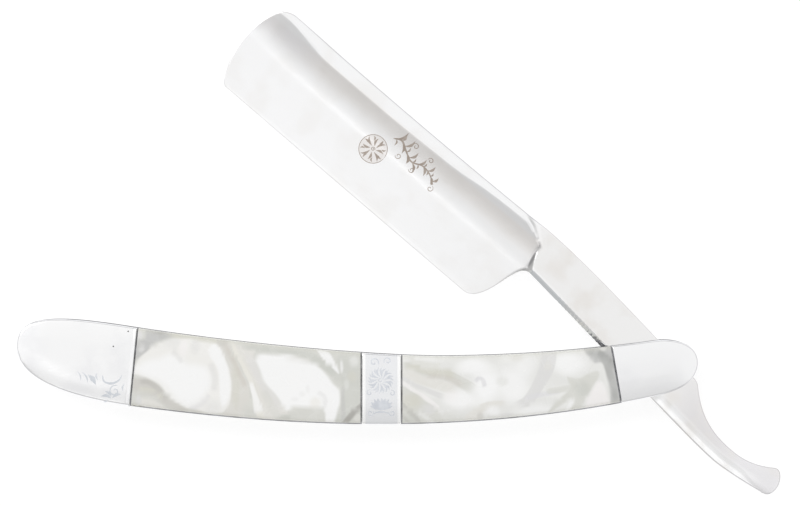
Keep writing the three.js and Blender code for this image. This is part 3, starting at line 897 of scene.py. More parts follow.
def handle_ring(amount):
    """The handle's outline, anticlockwise, moved inwards."""
    ring = np.concatenate([edge[:-1] for edge in (UPPER_EDGE, WEDGE_TIP, LOWER_EDGE, PIVOT_TIP)])
    return inset(np.concatenate([ring[-1:], ring, ring[:1]]), amount)[1:-1]


JOINT_ROUNDS = 12  # enough for the crossing of a leaning line and a curve to settle


def joint_points(joint, shift, lower, upper):
    """Where a joint line, moved along X by shift, crosses the lower and the upper edge."""
    x, lean = joint
    ends = []
    for edge in (lower, upper):
        y = 0.0
        for _ in range(JOINT_ROUNDS):
            y = float(height_at(edge, x + shift + lean * y))
        ends.append((x + shift + lean * y, y))
    return np.asarray(ends)


# Grid lines at a rolled edge, as fractions of its width, and at a joint, in millimetres from it.
ROLLED_STEPS = [0, 0.004, 0.016, 0.04, 0.075, 0.12, 0.18, 0.26, 0.36, 0.5, 0.68, 1.0]
JOINT_STEPS = [0, 0.006, 0.022, 0.05, 0.09, 0.14, 0.21, 0.3, 0.4, 0.48, 0.54, 0.6, 0.66, 0.72, 0.78,
               0.84, 0.92, 1.02, 1.3]
MOST_ROLLED = 0.42  # of a piece's length, for the lines crowded at one rolled edge


def clustered(length, width, count):
    """Fractions from 0 to 1 for grid lines, crowded towards a rolled edge and a joint.

    width has the width of the rolled edge at either end, or 0 where the piece ends at a joint.
    """
    ends = []
    for rolled in width:
        if rolled:
            ends.append(np.asarray(ROLLED_STEPS) * min(rolled / length, MOST_ROLLED))
        else:
            ends.append(np.asarray(JOINT_STEPS) / length)
    low, high = ends
    middle = np.linspace(low[-1], 1 - high[-1], count)[1:-1]
    return np.concatenate([low, middle, 1 - high[::-1]])


def coons(bottom, top, left, right, s, t):
    """Grid of points inside four curves, by transfinite interpolation. s runs along, t across."""
    b, u = along(bottom, s)[:, None], along(top, s)[:, None]
    l, r = along(left, t)[None], along(right, t)[None]
    s, t = s[:, None, None], t[None, :, None]
    low = (1 - s) * (1 - t) * b[0, 0] + s * (1 - t) * b[-1, 0]
    corners = low + (1 - s) * t * u[0, 0] + s * t * u[-1, 0]
    return (1 - t) * b + t * u + (1 - s) * l + s * r - corners


STRETCH_POINTS = 200


def stretch(edge, start, end):
    """An edge's points from one X to another, evenly spaced along X."""
    x = np.linspace(start, end, STRETCH_POINTS)
    return np.stack([x, height_at(edge, x)], axis=-1)


# Each rounded end of the handle is drawn with END_POINTS points. CORNERS are the two that become corners of
# the grid there, counted from the lower edge upward. PARTS are the ones at which the end's upper part and
# its lower part begin or stop, counted the way the outline runs.
END_POINTS = 160
WEDGE_CORNERS = (60, 118)
WEDGE_PARTS = (60, 100)
PIVOT_CORNERS = (56, 104)
PIVOT_PARTS = (120, 40)
CROSS_LENGTH = 17.0  # of the handle, for spacing the grid lines across it


def piece_plan(from_joint, to_joint, edge_inset, lift, width, size):
    """Plan grid of one scale piece, its rim curve and its joint lines."""
    ring = handle_ring(edge_inset) + [0, lift]
    wedge_end, pivot_end = [
        along(inset(tip, edge_inset), np.linspace(0, 1, END_POINTS)) for tip in (WEDGE_TIP, PIVOT_TIP)
    ]
    upper, lower = [inset(edge, edge_inset) + [0, lift] for edge in (UPPER_EDGE, LOWER_EDGE)]
    whole_upper = [wedge_end[: WEDGE_PARTS[0]][::-1], upper[::-1], pivot_end[PIVOT_PARTS[0] :][::-1]]
    whole_upper = np.concatenate(whole_upper)
    whole_lower = np.concatenate([wedge_end[WEDGE_PARTS[1] :], lower, pivot_end[: PIVOT_PARTS[1]]])
    start = end = None
    if from_joint:
        start = joint_points(from_joint, JOINT_GAP / 2, lower, whole_upper)
    if to_joint:
        end = joint_points(to_joint, -JOINT_GAP / 2, lower, whole_upper)
    if from_joint and to_joint:
        bottom = stretch(whole_lower, start[0][0], end[0][0])
        top = stretch(whole_upper, start[1][0], end[1][0])
        left, right = start, end
    elif to_joint:
        around = wedge_end[::-1]
        low, high = WEDGE_CORNERS
        first = np.argmax(around[:, 0] < end[0][0] - 0.1)
        bottom = np.concatenate([around[first : low + 1][::-1], end[:1]])
        top = np.concatenate([around[high:], stretch(upper, wedge_end[0][0], end[1][0])[1:]])
        left, right = around[low : high + 1], end
    else:
        low, high = PIVOT_CORNERS
        bottom = [stretch(lower, start[0][0], pivot_end[0][0]), pivot_end[1 : low + 1]]
        bottom = np.concatenate(bottom)
        top = [stretch(upper, start[1][0], pivot_end[-1][0]), pivot_end[high:-1][::-1]]
        top = np.concatenate(top)
        left, right = start, pivot_end[low : high + 1]
    length = np.hypot(*np.diff(bottom, axis=0).T).sum()
    s = clustered(length, (0 if from_joint else width, 0 if to_joint else width), size[0])
    t = clustered(CROSS_LENGTH, (width, width), size[1])
    joints = [joint for joint in (start, end) if joint is not None]
    return coons(bottom, top, left, right, s, t), ring, joints


PANELS = {"long_inlay": (STONE, LONG_PANEL), "short_inlay": (SHELL, SHORT_PANEL)}


def crown(distance, wide, fall):
    """How far a gently rounded face has fallen, at a distance from the rim."""
    return fall * np.clip(1 - distance / wide, 0, 1) ** CROWN_POWER


def depth_range(side, inner, outer):
    """Lowest and highest z between two depths from the middle plane, on one side of it."""
    return sorted(MIDDLE + SIDES[side] * depth for depth in (inner, outer))


def scale_piece(side, name, from_joint, to_joint, material, slot_name, size, holes=()):
    """One bolster, band or inlay: flat on the liner, rolled at the rim and softened at its joints."""
    metal = slot_name == "bolster"
    edge_inset = METAL_INSET if metal else INLAY_INSET
    across, down = METAL_ROLL if metal else INLAY_ROLL
    wide, fall = METAL_CROWN if metal else INLAY_CROWN
    lift = 0 if metal else INLAY_LIFT
    grid, ring, joints = piece_plan(from_joint, to_joint, edge_inset, lift, wide, size)
    plan = grid.reshape(-1, 2)
    distance, _ = distance_to(closed(ring), plan)
    drop = roll(distance, across, down) + crown(distance, wide, fall)
    soft = METAL_JOINT_ROUND if metal else JOINT_ROUND
    for joint in joints:
        near, _ = distance_to(np.asarray(joint), plan)
        drop = drop + roll(near, soft, soft)
        if name == "wedge_bolster":
            place, line_width, deep = BEAD_LINE
            drop = drop + deep * np.exp(-(((near - place) / line_width) ** 2))
    rim = rim_of(*grid.shape[:2])
    under = np.column_stack([plan[rim], np.full(len(rim), LINER_OUT)])
    vertices = np.concatenate([np.column_stack([plan, SCALE_TOP - drop]), under])
    lower_rim = list(range(len(plan), len(vertices)))
    faces = sheet_faces(*grid.shape[:2]) + wall(rim, lower_rim) + [lower_rim]
    vertices[:, 2] = MIDDLE + SIDES[side] * vertices[:, 2]
    node = f"{side}_{name}"
    piece = new_piece(f"{node}_shell", vertices, faces, material, "handle", slot_name, [node])
    if not metal:
        paint(piece, "swirl_and_rim_shade", swirls_and_rim_shade(vertices[:, :2], *PANELS[name]))
    if holes:
        drill(piece, holes, *depth_range(side, LINER_OUT - OVERCUT, SCALE_OUT - SKIN))
    return piece


PIVOT_HOLE = (*centre_of("pivot_pin"), PIVOT_RADIUS)
WEDGE_HOLES = [(*centre_of(f"wedge_pin_{k}"), WEDGE_PIN_RADIUS) for k in (1, 2)]
BAND_HOLES = [(*centre_of(f"front_band_rivet_{k}"), RIVET_RADIUS) for k in (1, 2)]
BOLSTER_HOLE = (*centre_of("front_bolster_rivet"), RIVET_RADIUS)

SCALE_PIECES = [
    ("wedge_bolster", None, WEDGE_JOINT, BOLSTER_METAL, "bolster", (40, 20), WEDGE_HOLES),
    ("long_inlay", WEDGE_JOINT, BAND_WEDGE_SIDE, PEARL, "inlay", (250, 60), ()),
    ("centre_band", BAND_WEDGE_SIDE, BAND_PIVOT_SIDE, BOLSTER_METAL, "bolster", (20, 20), BAND_HOLES),
    ("short_inlay", BAND_PIVOT_SIDE, PIVOT_JOINT, PEARL, "inlay", (230, 60), ()),
    ("pivot_bolster", PIVOT_JOINT, None, BOLSTER_METAL, "bolster", (34, 20), (PIVOT_HOLE, BOLSTER_HOLE)),
]


def liner(side):
    """The plate under one side's scales, with softened edges."""
    low, high = depth_range(side, SLOT_HALF, LINER_OUT)
    soft = LINER_ROUND
    levels = [(soft, low), (0, low + soft), (0, high - soft), (soft, high)]
    vertices, faces = prism_mesh(handle_ring(0), levels)
    node = f"{side}_liner"
    piece = new_piece(f"{node}_plate", vertices, faces, LINER_METAL, "handle", "liner", [node])
    drill(piece, [PIVOT_HOLE, *WEDGE_HOLES, *BAND_HOLES, BOLSTER_HOLE], low - OVERCUT, high + OVERCUT)


def wedge():
    """The spacer at the blunt end, a little inside the handle's outline."""
    low, high = MIDDLE - SLOT_HALF, MIDDLE + SLOT_HALF
    tip = inset(WEDGE_TIP, WEDGE_INSET)
    top_y = height_at(tip[:CURVE_POINTS], WEDGE_END_X)
    bottom_y = height_at(tip[-CURVE_POINTS:], WEDGE_END_X)
    end = [(WEDGE_END_X, bottom_y), (WEDGE_END_X, top_y)]
    ring = np.concatenate([tip[tip[:, 0] < WEDGE_END_X - 0.2], end])
    vertices, faces = prism_mesh(ring, [(0, low), (0, high)])
    piece = new_piece("wedge_spacer", vertices, faces, WEDGE_METAL, "handle", "wedge", ["wedge"])
    drill(piece, WEDGE_HOLES, low - OVERCUT, high + OVERCUT)


def rod(name, hole, low, high):
    """A pin or rivet with softened ends."""
    x, y, radius = hole
    soft = PIN_ROUND
    profile = [(AXIS, low), (radius - soft, low), (radius, low + soft), (radius, high - soft)]
    profile += [(radius - soft, high), (AXIS, high)]
    vertices, faces = lathe_mesh(profile, PIN_SIDES)
    new_piece(f"{name}_turned", vertices + [x, y, 0], faces, PIN_METAL, "handle", "pin", [name])


def pins():
    """Every pin and rivet; they end under the bolsters' skin."""
    out = SCALE_OUT - SKIN
    rod("pivot_pin", PIVOT_HOLE, MIDDLE - out, MIDDLE + out)
    for k, hole in enumerate(WEDGE_HOLES, 1):
        rod(f"wedge_pin_{k}", hole, MIDDLE - out, MIDDLE + out)
    for side in SIDES:
        low, high = depth_range(side, SLOT_HALF, out)
        for k, hole in enumerate(BAND_HOLES, 1):
            rod(f"{side}_band_rivet_{k}", hole, low, high)
        rod(f"{side}_bolster_rivet", BOLSTER_HOLE, low, high)


def washers():
    inner = PIVOT_RADIUS + PIN_FIT
    soft = WASHER_ROUND
    for side in SIDES:
        low, high = depth_range(side, WASHER_IN, SLOT_HALF)
        profile = [(inner, low), (WASHER_RADIUS - soft, low), (WASHER_RADIUS, low + soft)]
        profile += [(WASHER_RADIUS, high - soft), (WASHER_RADIUS - soft, high), (inner, high)]
        vertices, faces = lathe_mesh(profile, HOLE_SIDES)
        node = f"{side}_pivot_washer"
        new_piece(f"{node}_ring", vertices, faces, BRASS, "handle", "washer", [node])


def handle():
    for side in SIDES:
        liner(side)
        for row in SCALE_PIECES:
            scale_piece(side, *row)
    wedge()
    pins()
    washers()


# ---- blade

BACK = path(
    (-113.5, 8.4),
    [(-90.0, 7.95), (-62.0, 7.85), (-39.0, 8.42)],
    [(-28.0, 8.25), (-16.0, 6.95), (7.5, 4.3)],
    [(8.6, 4.2), (9.2, 4.0), (9.9, 3.5)],
    [(14.0, -0.6), (18.5, -2.9), (25.5, -2.75)],
    [(29.5, -2.75), (32.6, -1.4), (35.3, 0.5)],
    [(36.5, 1.3), (37.87, 0.18), (38.6, -1.9)],
    [(38.94, -3.2), (38.88, -5.6), (TAIL_TIP_X, -5.75)],
)
UNDERSIDE = path(
    (TAIL_TIP_X, -5.75),
    [(33.0, -6.45), (28.5, -7.2), (24.0, -7.4)],
    [(19.0, -7.3), (13.0, -6.7), (8.0, -6.2)],
    [(-36.0, -1.8)],
    [(-37.7, -2.0), (-38.2, -3.4), (-39.0, -5.7)],
    [(-40.4, -10.9), (-41.7, -14.7), (-45.0, EDGE_Y)],
    [(-115.4, EDGE_Y + 0.3)],
)
UNDER_BODY = UNDERSIDE[UNDERSIDE[:, 0] < TAIL_TIP_X]  # without the point that it shares with the back
BACK_BODY = BACK[: 5 * CURVE_POINTS + 1]  # up to the hook's tip
TAIL_PATCH_X = 26.0  # the grid follows the tail's rounded end from here on


def jimp_cut(x):
    """Depth of the grip notches in the tang's underside."""
    place = (JIMP_FIRST_X - x) / JIMP_PITCH
    wave = 0.5 + 0.5 * np.cos(2 * np.pi * place)
    inside = (place > -0.5) & (place < JIMP_COUNT - 0.5)
    return np.where(inside, JIMP_DEPTH * wave**2.2, 0)


def under_y(x):
    """Y of the blade's edge and of the tang's underside, with its grip notches."""
    return height_at(UNDER_BODY, x) + jimp_cut(x)


def back_y(x):
    """Y of the blade's back, from the toe to the tail."""
    return height_at(BACK_BODY, x)


def toe_x(y, low, high):
    """The toe's outline: a large arc with a corner rounded into the back and a smaller one at the edge."""
    arc = TOE_CENTRE[0] - np.sqrt(TOE_RADIUS**2 - (y - TOE_CENTRE[1]) ** 2)
    back = roll(high - y, TOE_BACK_ROUND, TOE_BACK_ROUND)
    edge = roll(y - low, TOE_EDGE_ROUND, TOE_EDGE_ROUND)
    return arc + back + edge


def blade_stations():
    """X of the grid's straight lines across the blade, closer where the shape changes faster."""
    spans = [
        (-100.0, -46.0, 1.0),
        (-46.0, -41.2, 0.25),
        (-41.2, -34.6, 0.08),
        (-34.6, -28.2, 0.3),
        (-28.2, -9.8, 0.092),
        (-9.8, 10.6, 0.3),
        (10.6, TAIL_PATCH_X, 0.4),
    ]
    stations = []
    for low, high, step in spans:
        stations.append(np.linspace(low, high, round((high - low) / step), endpoint=False))
    return np.concatenate([*stations, [TAIL_PATCH_X]])


WEB_ROWS = np.concatenate([[0, 0.003, 0.009, 0.018, 0.03, 0.05], np.linspace(0.075, 1, 16)])
HOLLOW_ROWS = np.linspace(0, 1, 24)[1:]
FLANK_ROWS = [0.12, 0.24, 0.36, 0.48, 0.58, 0.67, 0.75, 0.82, 0.88, 0.925, 0.955, 0.975, 0.99, 0.997, 1]
FLANK_ROWS = np.asarray(FLANK_ROWS)


LEAST_BAND = 0.3  # the least height of web and flank in the grid
GRID_TANG_X = (-44.0, -36.0)  # between these the grid's lines change over from the blade to the tang
TANG_PARTS = (0.32, 0.68)  # where those lines lie on the tang, as parts of its height


def row_levels(x, low, high):
    """Y of the grid's lines along the blade at one station: web, hollow and flank above one another."""
    toward_tang = smooth((x - GRID_TANG_X[0]) / (GRID_TANG_X[1] - GRID_TANG_X[0]))
    height = high - low
    web_part, ridge_part = TANG_PARTS
    web_top = (1 - toward_tang) * line_y(HOLLOW_LINE, x) + toward_tang * (low + web_part * height)
    web_top = max(web_top, low + LEAST_BAND)
    ridge = (1 - toward_tang) * line_y(RIDGE_LINE, x) + toward_tang * (low + ridge_part * height)
    ridge = min(ridge, high - LEAST_BAND)
    web = low + (web_top - low) * WEB_ROWS
    hollow = web_top + (ridge - web_top) * HOLLOW_ROWS
    flank = ridge + (high - ridge) * FLANK_ROWS
    return np.concatenate([web, hollow, flank])


HOOK_X = 30.0  # the tail's hook lies past this X
HOOK_LOW_Y = -2.9  # and its back over this Y
TOE_X = -116.0
TOE_GRID_END_X = -100.0
TOE_LOW, TOE_HIGH = EDGE_Y + 0.3, 8.35
TOE_UNDER_X, TOE_BACK_X = -115.4, -113.5  # where the toe's curve starts on the edge and on the back
TOE_STEPS = np.concatenate([[0, 0.004, 0.01, 0.02, 0.035, 0.06, 0.1], np.linspace(0.15, 1, 17)[:-1]])
TAIL_STEPS = [0.84, 0.88, 0.915, 0.945, 0.967, 0.982, 0.992, 0.998, 1]
TAIL_STEPS = np.concatenate([np.linspace(0, 0.8, 26), TAIL_STEPS])


def blade_plan():
    """Plan grid of the blade: toe, straight stations, tail."""
    grid = []
    toe = toe_x(row_levels(TOE_X, TOE_LOW, TOE_HIGH), TOE_LOW, TOE_HIGH)
    for q in TOE_STEPS:
        x = (1 - q) * toe + q * TOE_GRID_END_X
        low = (1 - q) * TOE_LOW + q * under_y(max(x[0], TOE_UNDER_X))
        high = (1 - q) * TOE_HIGH + q * back_y(max(x[-1], TOE_BACK_X))
        grid.append(np.column_stack([x, row_levels(x.mean(), low, high)]))
    for x in blade_stations():
        y = row_levels(x, float(under_y(x)), float(back_y(x)))
        grid.append(np.column_stack([np.full(len(y), x), y]))
    start = grid[-1]
    across = (start[:, 1] - start[0, 1]) / (start[-1, 1] - start[0, 1])
    rise = BACK[(BACK[:, 0] > TAIL_PATCH_X) & (BACK[:, 1] > HOOK_LOW_Y)]
    top = np.concatenate([[start[-1]], rise])
    top = top[: np.argmax(top[:, 1]) + 1]
    on_hook = np.where(BACK[:, 0] > HOOK_X, BACK[:, 1], -np.inf)
    tip = BACK[np.argmax(on_hook) :][::-1]
    bottom = np.concatenate([[start[0]], UNDERSIDE[UNDERSIDE[:, 0] > TAIL_PATCH_X][::-1]])
    tail = coons(bottom, top, start[[0, -1]], tip, TAIL_STEPS, across)
    grid.extend(tail[1:])
    return np.asarray(grid)


def line_y(line, x):
    """Y at X of a smooth line along the blade."""
    curve = flow(line)
    return np.interp(x, curve[:, 0], curve[:, 1])


def ground_half(x, y):
    """Half thickness of the ground blade: flank, hollow arc, web and honed bevel."""
    ridge_y, hollow_y = line_y(RIDGE_LINE, x), line_y(HOLLOW_LINE, x)
    bevel_y = EDGE_Y + HONED_WIDTH
    slope = (HOLLOW_HALF - WEB_EDGE_HALF) / (hollow_y - bevel_y)
    web = WEB_EDGE_HALF + slope * (y - bevel_y)
    bevel = KEEN_HALF + (WEB_EDGE_HALF - KEEN_HALF) * (y - EDGE_Y) / HONED_WIDTH
    thin = np.minimum(web, bevel)
    run = ridge_y - hollow_y
    up = np.clip(y - hollow_y, 0, run + 2)
    hollow = thin + HOLLOW_RADIUS - np.sqrt(HOLLOW_RADIUS**2 - up**2)
    ridge_half = HOLLOW_HALF + slope * run + HOLLOW_RADIUS - np.sqrt(HOLLOW_RADIUS**2 - run**2)
    flank = ridge_half - FLANK_SLOPE * (y - ridge_y)
    overlap = np.maximum(RIDGE_SOFT - np.abs(flank - hollow), 0) / RIDGE_SOFT
    return np.minimum(flank, hollow) - overlap**2 * RIDGE_SOFT / 4


# Y and X of the line where the ground blade meets the tang, and Y and the width of the step there.
SHOULDER_LINE = [
    (-15, -35.2), (-2, -35.3), (-1, -35.45), (-0.3, -35.8), (0.5, -36.4), (1.2, -36.8), (2.2, -37.15),
    (3.2, -37.4), (4.2, -37.6), (4.8, -37.9), (5.3, -38.4), (5.9, -39.1), (6.6, -39.7), (7.4, -40.3),
    (9, -41),
]
SHOULDER_WIDTHS = [
    (-2, 2.3), (-0.3, 2.1), (1.2, 1.4), (3.2, 1.1), (4.4, 0.8), (5.4, 1.7), (6.4, 3.4), (8, 5.2),
]


def shoulder_x(y):
    """The S-shaped line in plan where the ground blade meets the tang."""
    heights, places = np.transpose(SHOULDER_LINE)
    return np.interp(y, heights, places)


def shoulder_width(y):
    """Width in plan of the step between ground blade and tang."""
    heights, widths = np.transpose(SHOULDER_WIDTHS)
    return np.interp(y, heights, widths)


def tang_half(x):
    """Half thickness of tang and tail, which thins towards its end."""
    toward_end = np.clip((x - TAIL_START_X) / (TAIL_END_X - TAIL_START_X), 0, 1)
    return TANG_HALF + (TAIL_END_HALF - TANG_HALF) * toward_end


def blade_half(plan):
    """Half thickness at each point before its edges are rolled."""
    x, y = plan[:, 0], plan[:, 1]
    width = shoulder_width(y)
    into_ground = smooth((shoulder_x(y) - x) / width)
    return into_ground * ground_half(x, y) + (1 - into_ground) * tang_half(x)


# Edges of the blade by X: how far in they reach, how far down, and how much they are a flat chamfer.
UNDER_RIM = [
    (-121, 0.1, 0.1, 0), (-46, 0.1, 0.1, 0), (-40, 0.16, 0.16, 0), (-37.2, 0.55, 0.4, 1),
    (-36.0, 0.85, 0.63, 1), (-34.0, 0.93, 0.69, 1), (-4.0, 0.93, 0.69, 1), (3.0, 0.32, 0.32, 0),
    (37.0, 0.32, 0.32, 0),
]
BACK_RIM = [
    (-121, 0.25, 0.25, 0), (-113, 0.25, 0.25, 0), (-104, 0.4, 0.5, 0), (-42, 0.4, 0.5, 0),
    (-38, 0.4, 0.5, 0), (6.0, 0.4, 0.5, 0), (11.0, 0.35, 0.4, 0), (37.0, 0.4, 0.4, 0),
]
TOE_RIM = 0.25  # no edge of the toe is rolled more than this
MOST_DROP = 0.85  # an edge drops by no more than this part of the blade's half thickness
CHAMFER_SOFT = 0.16
TAIL_CROWN = (1.7, 0.05)  # the tail's face falls gently toward its rim: across, and down
TAIL_FACET = (1.9, 0.37, 0.75)  # a flat facet along its underside: across, down, and its soft corner


def chamfer(distance, across, down):
    """How far a flat chamfer has dropped; its inner corner is softened."""
    inside = across - distance
    soft = np.clip(inside + CHAMFER_SOFT, 0, 2 * CHAMFER_SOFT)
    eased = np.where(inside > CHAMFER_SOFT, inside, soft**2 / (4 * CHAMFER_SOFT))
    return eased * down / np.maximum(across, 1e-9)


def tail_reach(x):
    """How far along the tail a place lies, as 0 outside the tail's faceted part and 1 inside it."""
    return smooth((x - 1.0) / 5.0) * smooth((36.5 - x) / 8.0)


def tail_facet(plan):
    """How far the flat facet along the tail's underside has dropped."""
    across, down, soft = TAIL_FACET
    x, y = plan.T
    into = across * tail_reach(x) - (y - height_at(UNDER_BODY, x))
    eased = np.where(into > soft, into, np.clip(into + soft, 0, 2 * soft) ** 2 / (4 * soft))
    return np.where(x > 1.0, np.minimum(eased, across) * down / across, 0)


def blade_top(grid):
    """Half thickness over the grid, with every edge rolled or chamfered."""
    rows, cols = grid.shape[:2]
    plan = grid.reshape(-1, 2)
    rim = rim_of(rows, cols)
    loop = plan[rim]
    order = np.arange(len(rim))
    under = order < rows + cols // 3
    edge = np.empty((len(rim), 3))
    for part, table in ((under, UNDER_RIM), (~under, BACK_RIM)):
        table = np.asarray(table)
        for k in range(3):
            edge[part, k] = np.interp(loop[part, 0], table[:, 0], table[:, k + 1])
    at_toe = order >= len(rim) - (cols - 2)
    edge[at_toe] = np.minimum(edge[at_toe], TOE_RIM)
    edge = closed(edge)
    distance, place = distance_to(closed(loop), plan)
    across, down, flat = [np.interp(place, np.arange(len(edge)), edge[:, k]) for k in range(3)]
    wide, fall = TAIL_CROWN
    on_tail = smooth((plan[:, 0] - 5) / 8)
    base = blade_half(plan) - on_tail * fall * np.clip(1 - distance / wide, 0, 1) ** 2
    base = base - tail_facet(plan)
    down = np.minimum(down, MOST_DROP * base)
    return base - ((1 - flat) * roll(distance, across, down) + flat * chamfer(distance, across, down))


def turned(vertices):
    """From the blade's own frame to the razor's frame at rest."""
    c, s = math.cos(BLADE_ANGLE), math.sin(BLADE_ANGLE)
    x, y, z = vertices.T
    return np.column_stack([c * x - s * y, s * x + c * y, z + MIDDLE])


def turned_back(piece):
    """Plan of a piece's vertices in the blade's own frame."""
    points = np.empty(len(piece.data.vertices) * 3)
    piece.data.vertices.foreach_get("co", points)
    c, s = math.cos(BLADE_ANGLE), math.sin(BLADE_ANGLE)
    x, y, _ = points.reshape(-1, 3).T / MM
    return np.column_stack([c * x + s * y, c * y - s * x])


def blade():
    """The blade's mesh, its bore, and what its steel needs painted on it."""
    grid = blade_plan()
    rows, cols = grid.shape[:2]
    plan = grid.reshape(-1, 2)
    half = blade_top(grid)
    vertices = np.concatenate([np.column_stack([plan, half]), np.column_stack([plan, -half])])
    faces = sheet_faces(rows, cols) + sheet_faces(rows, cols, len(plan), True)
    rim = rim_of(rows, cols)
    faces += wall(rim, [k + len(plan) for k in rim])
    looks = (BLADE_STEEL, "blade", "blade", ["blade"], BLADE_SHARP_ANGLE)
    piece = new_piece("blade_ground", turned(vertices), faces, *looks)
    cut_holes(piece, [(0, 0, BORE_RADIUS, -OVERCUT, STACK + OVERCUT)], BLADE_SHARP_ANGLE)
    plan = turned_back(piece)
    x, y = plan.T
    over_edge = y - under_y(x)
    on_tang = smooth((x - SHOULDER_X) / 0.8) * smooth((-3.0 - x) / 2)
    # painted highlight: a bright strip along the tail's underside and a fainter line above the tang's flat
    tail_painted_highlight = tail_reach(x) * smooth((3.3 - over_edge) / 1.7) * smooth((over_edge - 0.12) / 0.35)
    tang_painted_highlight = on_tang * smooth((over_edge - 0.88) / 0.25) * smooth((1.8 - over_edge) / 0.8)
    # painted shade in the corner at the shoulder
    paint_amount(piece, "shoulder_shade", shoulder_shade(x, y))
    paint_amount(piece, "painted_highlight", np.maximum(tail_painted_highlight, 0.5 * tang_painted_highlight))
    # painted reflection: a cool bluish tint on the flat along the tang's underside
    paint_amount(piece, "bevel", on_tang * smooth((BEVEL_WIDTH - over_edge) / 0.15))


def shoulder_shade(x, y):
    """Painted shade in the corner at the shoulder: how much darker the steel is painted along the step
    there.
    """
    width = shoulder_width(y)
    middle = 0.55 + 0.3 * smooth((1.0 - y) / 2.5)
    off = np.abs(x - (shoulder_x(y) - middle * width)) / 0.42
    fade = smooth((5.3 - y) / 0.7) * (0.6 + 0.4 * smooth((y + 1.6) / 1.6))
    return np.clip(np.exp(-(off**2)) * fade, 0, 1)


handle()
blade()

# ---- etched and engraved ornament

PROUD = 0.008  # the marks stand this far above the metal, so that they show
PROUD_STEP = 0.0004  # and each one this far above the last, so that no two share a plane
MARK_DEPTH = 0.05


def stroke(line, widths, count=26):
    """Plan grid of one mark: a line with its width at the start, the middle and the end."""
    line = along(np.asarray(line, float), np.linspace(0, 1, count))
    part = np.linspace(0, 1, len(line))
    half = np.interp(part, [0, 0.5, 1], widths) / 2
    half = half * np.sqrt(np.clip(np.minimum(part, 1 - part) / 0.06, 0.05, 1))
    run = np.gradient(line, axis=0)
    run /= np.hypot(run[:, 0], run[:, 1])[:, None]
    out = np.stack([-run[:, 1], run[:, 0]], axis=-1)
    across = np.asarray([-1, -0.5, 0, 0.5, 1])
    return line[:, None] + out[:, None] * (half[:, None] * across)[..., None]


def direction(angle):
    """The unit vector at an angle in radians."""
    return np.asarray([math.cos(angle), math.sin(angle)])


def leaf(start, angle, length, width, bend=0.25):
    """A leaf-shaped mark that grows from a point in a direction given in degrees."""
    ahead = direction(math.radians(angle))
    side = np.asarray([-ahead[1], ahead[0]])
    start = np.asarray(start, float)
    middle = start + ahead * length * 0.5 + side * length * bend * 0.5
    return stroke(flow([start, middle, start + ahead * length]), (0.08, width, 0.04))


def curl(centre, outer, inner, first, turn, width):
    """A spiral mark from the outer to the inner radius; first and turn are in degrees."""
    t = np.linspace(0, 1, 40)
    a = np.radians(first + turn * t)
    r = outer + (inner - outer) * t
    line = np.asarray(centre) + r[:, None] * np.stack([np.cos(a), np.sin(a)], axis=-1)
    return stroke(line, (width * 0.5, width, width * 0.8))


def marks(name, strokes, top, material, body, slot_name, turn=None):
    """Joins marks into one piece that lies on a surface; top gives the surface's height over a plan."""
    vertices, faces = [], []
    first = 0
    for number, grid in enumerate(strokes):
        rows, cols = grid.shape[:2]
        plan = grid.reshape(-1, 2)
        count = len(plan)
        height = top(plan)
        vertices.append(np.column_stack([plan, height + PROUD + PROUD_STEP * number]))
        vertices.append(np.column_stack([plan, height - MARK_DEPTH]))
        faces += sheet_faces(rows, cols, first) + sheet_faces(rows, cols, first + count, True)
        rim = [first + k for k in rim_of(rows, cols)]
        faces += wall(rim, [k + count for k in rim])
        first += 2 * count
    vertices = np.concatenate(vertices)
    vertices = turn(vertices) if turn else vertices + [0, 0, MIDDLE]
    new_piece(name, vertices, faces, material, body, slot_name)


def ring_mark(centre, radius, width):
    """A circle, as one closed stroke."""
    a = np.linspace(0, 2 * math.pi, 80)
    line = np.asarray(centre) + radius * np.stack([np.cos(a), np.sin(a)], axis=-1)
    return stroke(line, (width, width, width), 60)


def sprig():
    """A rosette of leaves in a ring, with a leafy vine beside it, etched on the blade's front face."""
    centre = np.asarray(MARK_CENTRE)
    strokes = [ring_mark(centre, MARK_RADIUS, 0.17)]
    for k in range(8):
        angle = 45 * k + 12
        a = math.radians(angle)
        strokes.append(leaf(centre + 0.75 * direction(a), angle, 2.3 if k % 2 else 1.9, 0.6, 0.3))
        strokes.append(leaf(centre + 1.9 * direction(a + 0.39), angle + 22, 1.1, 0.42, -0.4))
    strokes.append(curl(centre, 0.5, 0.15, 0, 520, 0.18))
    stem = flow(pairs([-79.4, 1.4, -77.6, 2.3, -75.2, 1, -72.8, 0, -70.4, 0.9, -68, 0.6, -65.6, -0.9]))
    strokes.append(stroke(stem, (0.42, 0.36, 0.24)))
    for k, part in enumerate((0.05, 0.14, 0.23, 0.32, 0.41, 0.5, 0.59, 0.68, 0.77, 0.86, 0.94)):
        root = along(stem, [part])[0]
        up = k % 2 == 0
        strokes.append(leaf(root, 66 if up else -52, 3.1 - 0.14 * k, 0.68, -0.35 if up else 0.35))
        strokes.append(leaf(root, -70 if up else 84, 1.6 - 0.07 * k, 0.42, 0.35 if up else -0.35))
    for x, y, radius in ((-76.0, -0.9, 0.75), (-74.3, 3.3, 0.8), (-71.6, -1.4, 0.7), (-69.6, 3.0, 0.7)):
        strokes.append(curl((x, y), radius, 0.2, 200, -420 if y > 1 else 420, 0.2))
    strokes.append(curl((-65.7, -1.9), 0.8, 0.15, 90, -420, 0.2))
    marks("blade_sprig", strokes, blade_half, ETCH, "blade", "blade", turned)


def bolster_top(plan):
    """Height of a bolster's or band's face over the middle plane."""
    distance, _ = distance_to(closed(handle_ring(METAL_INSET)), plan)
    return SCALE_TOP - crown(distance, *METAL_CROWN)


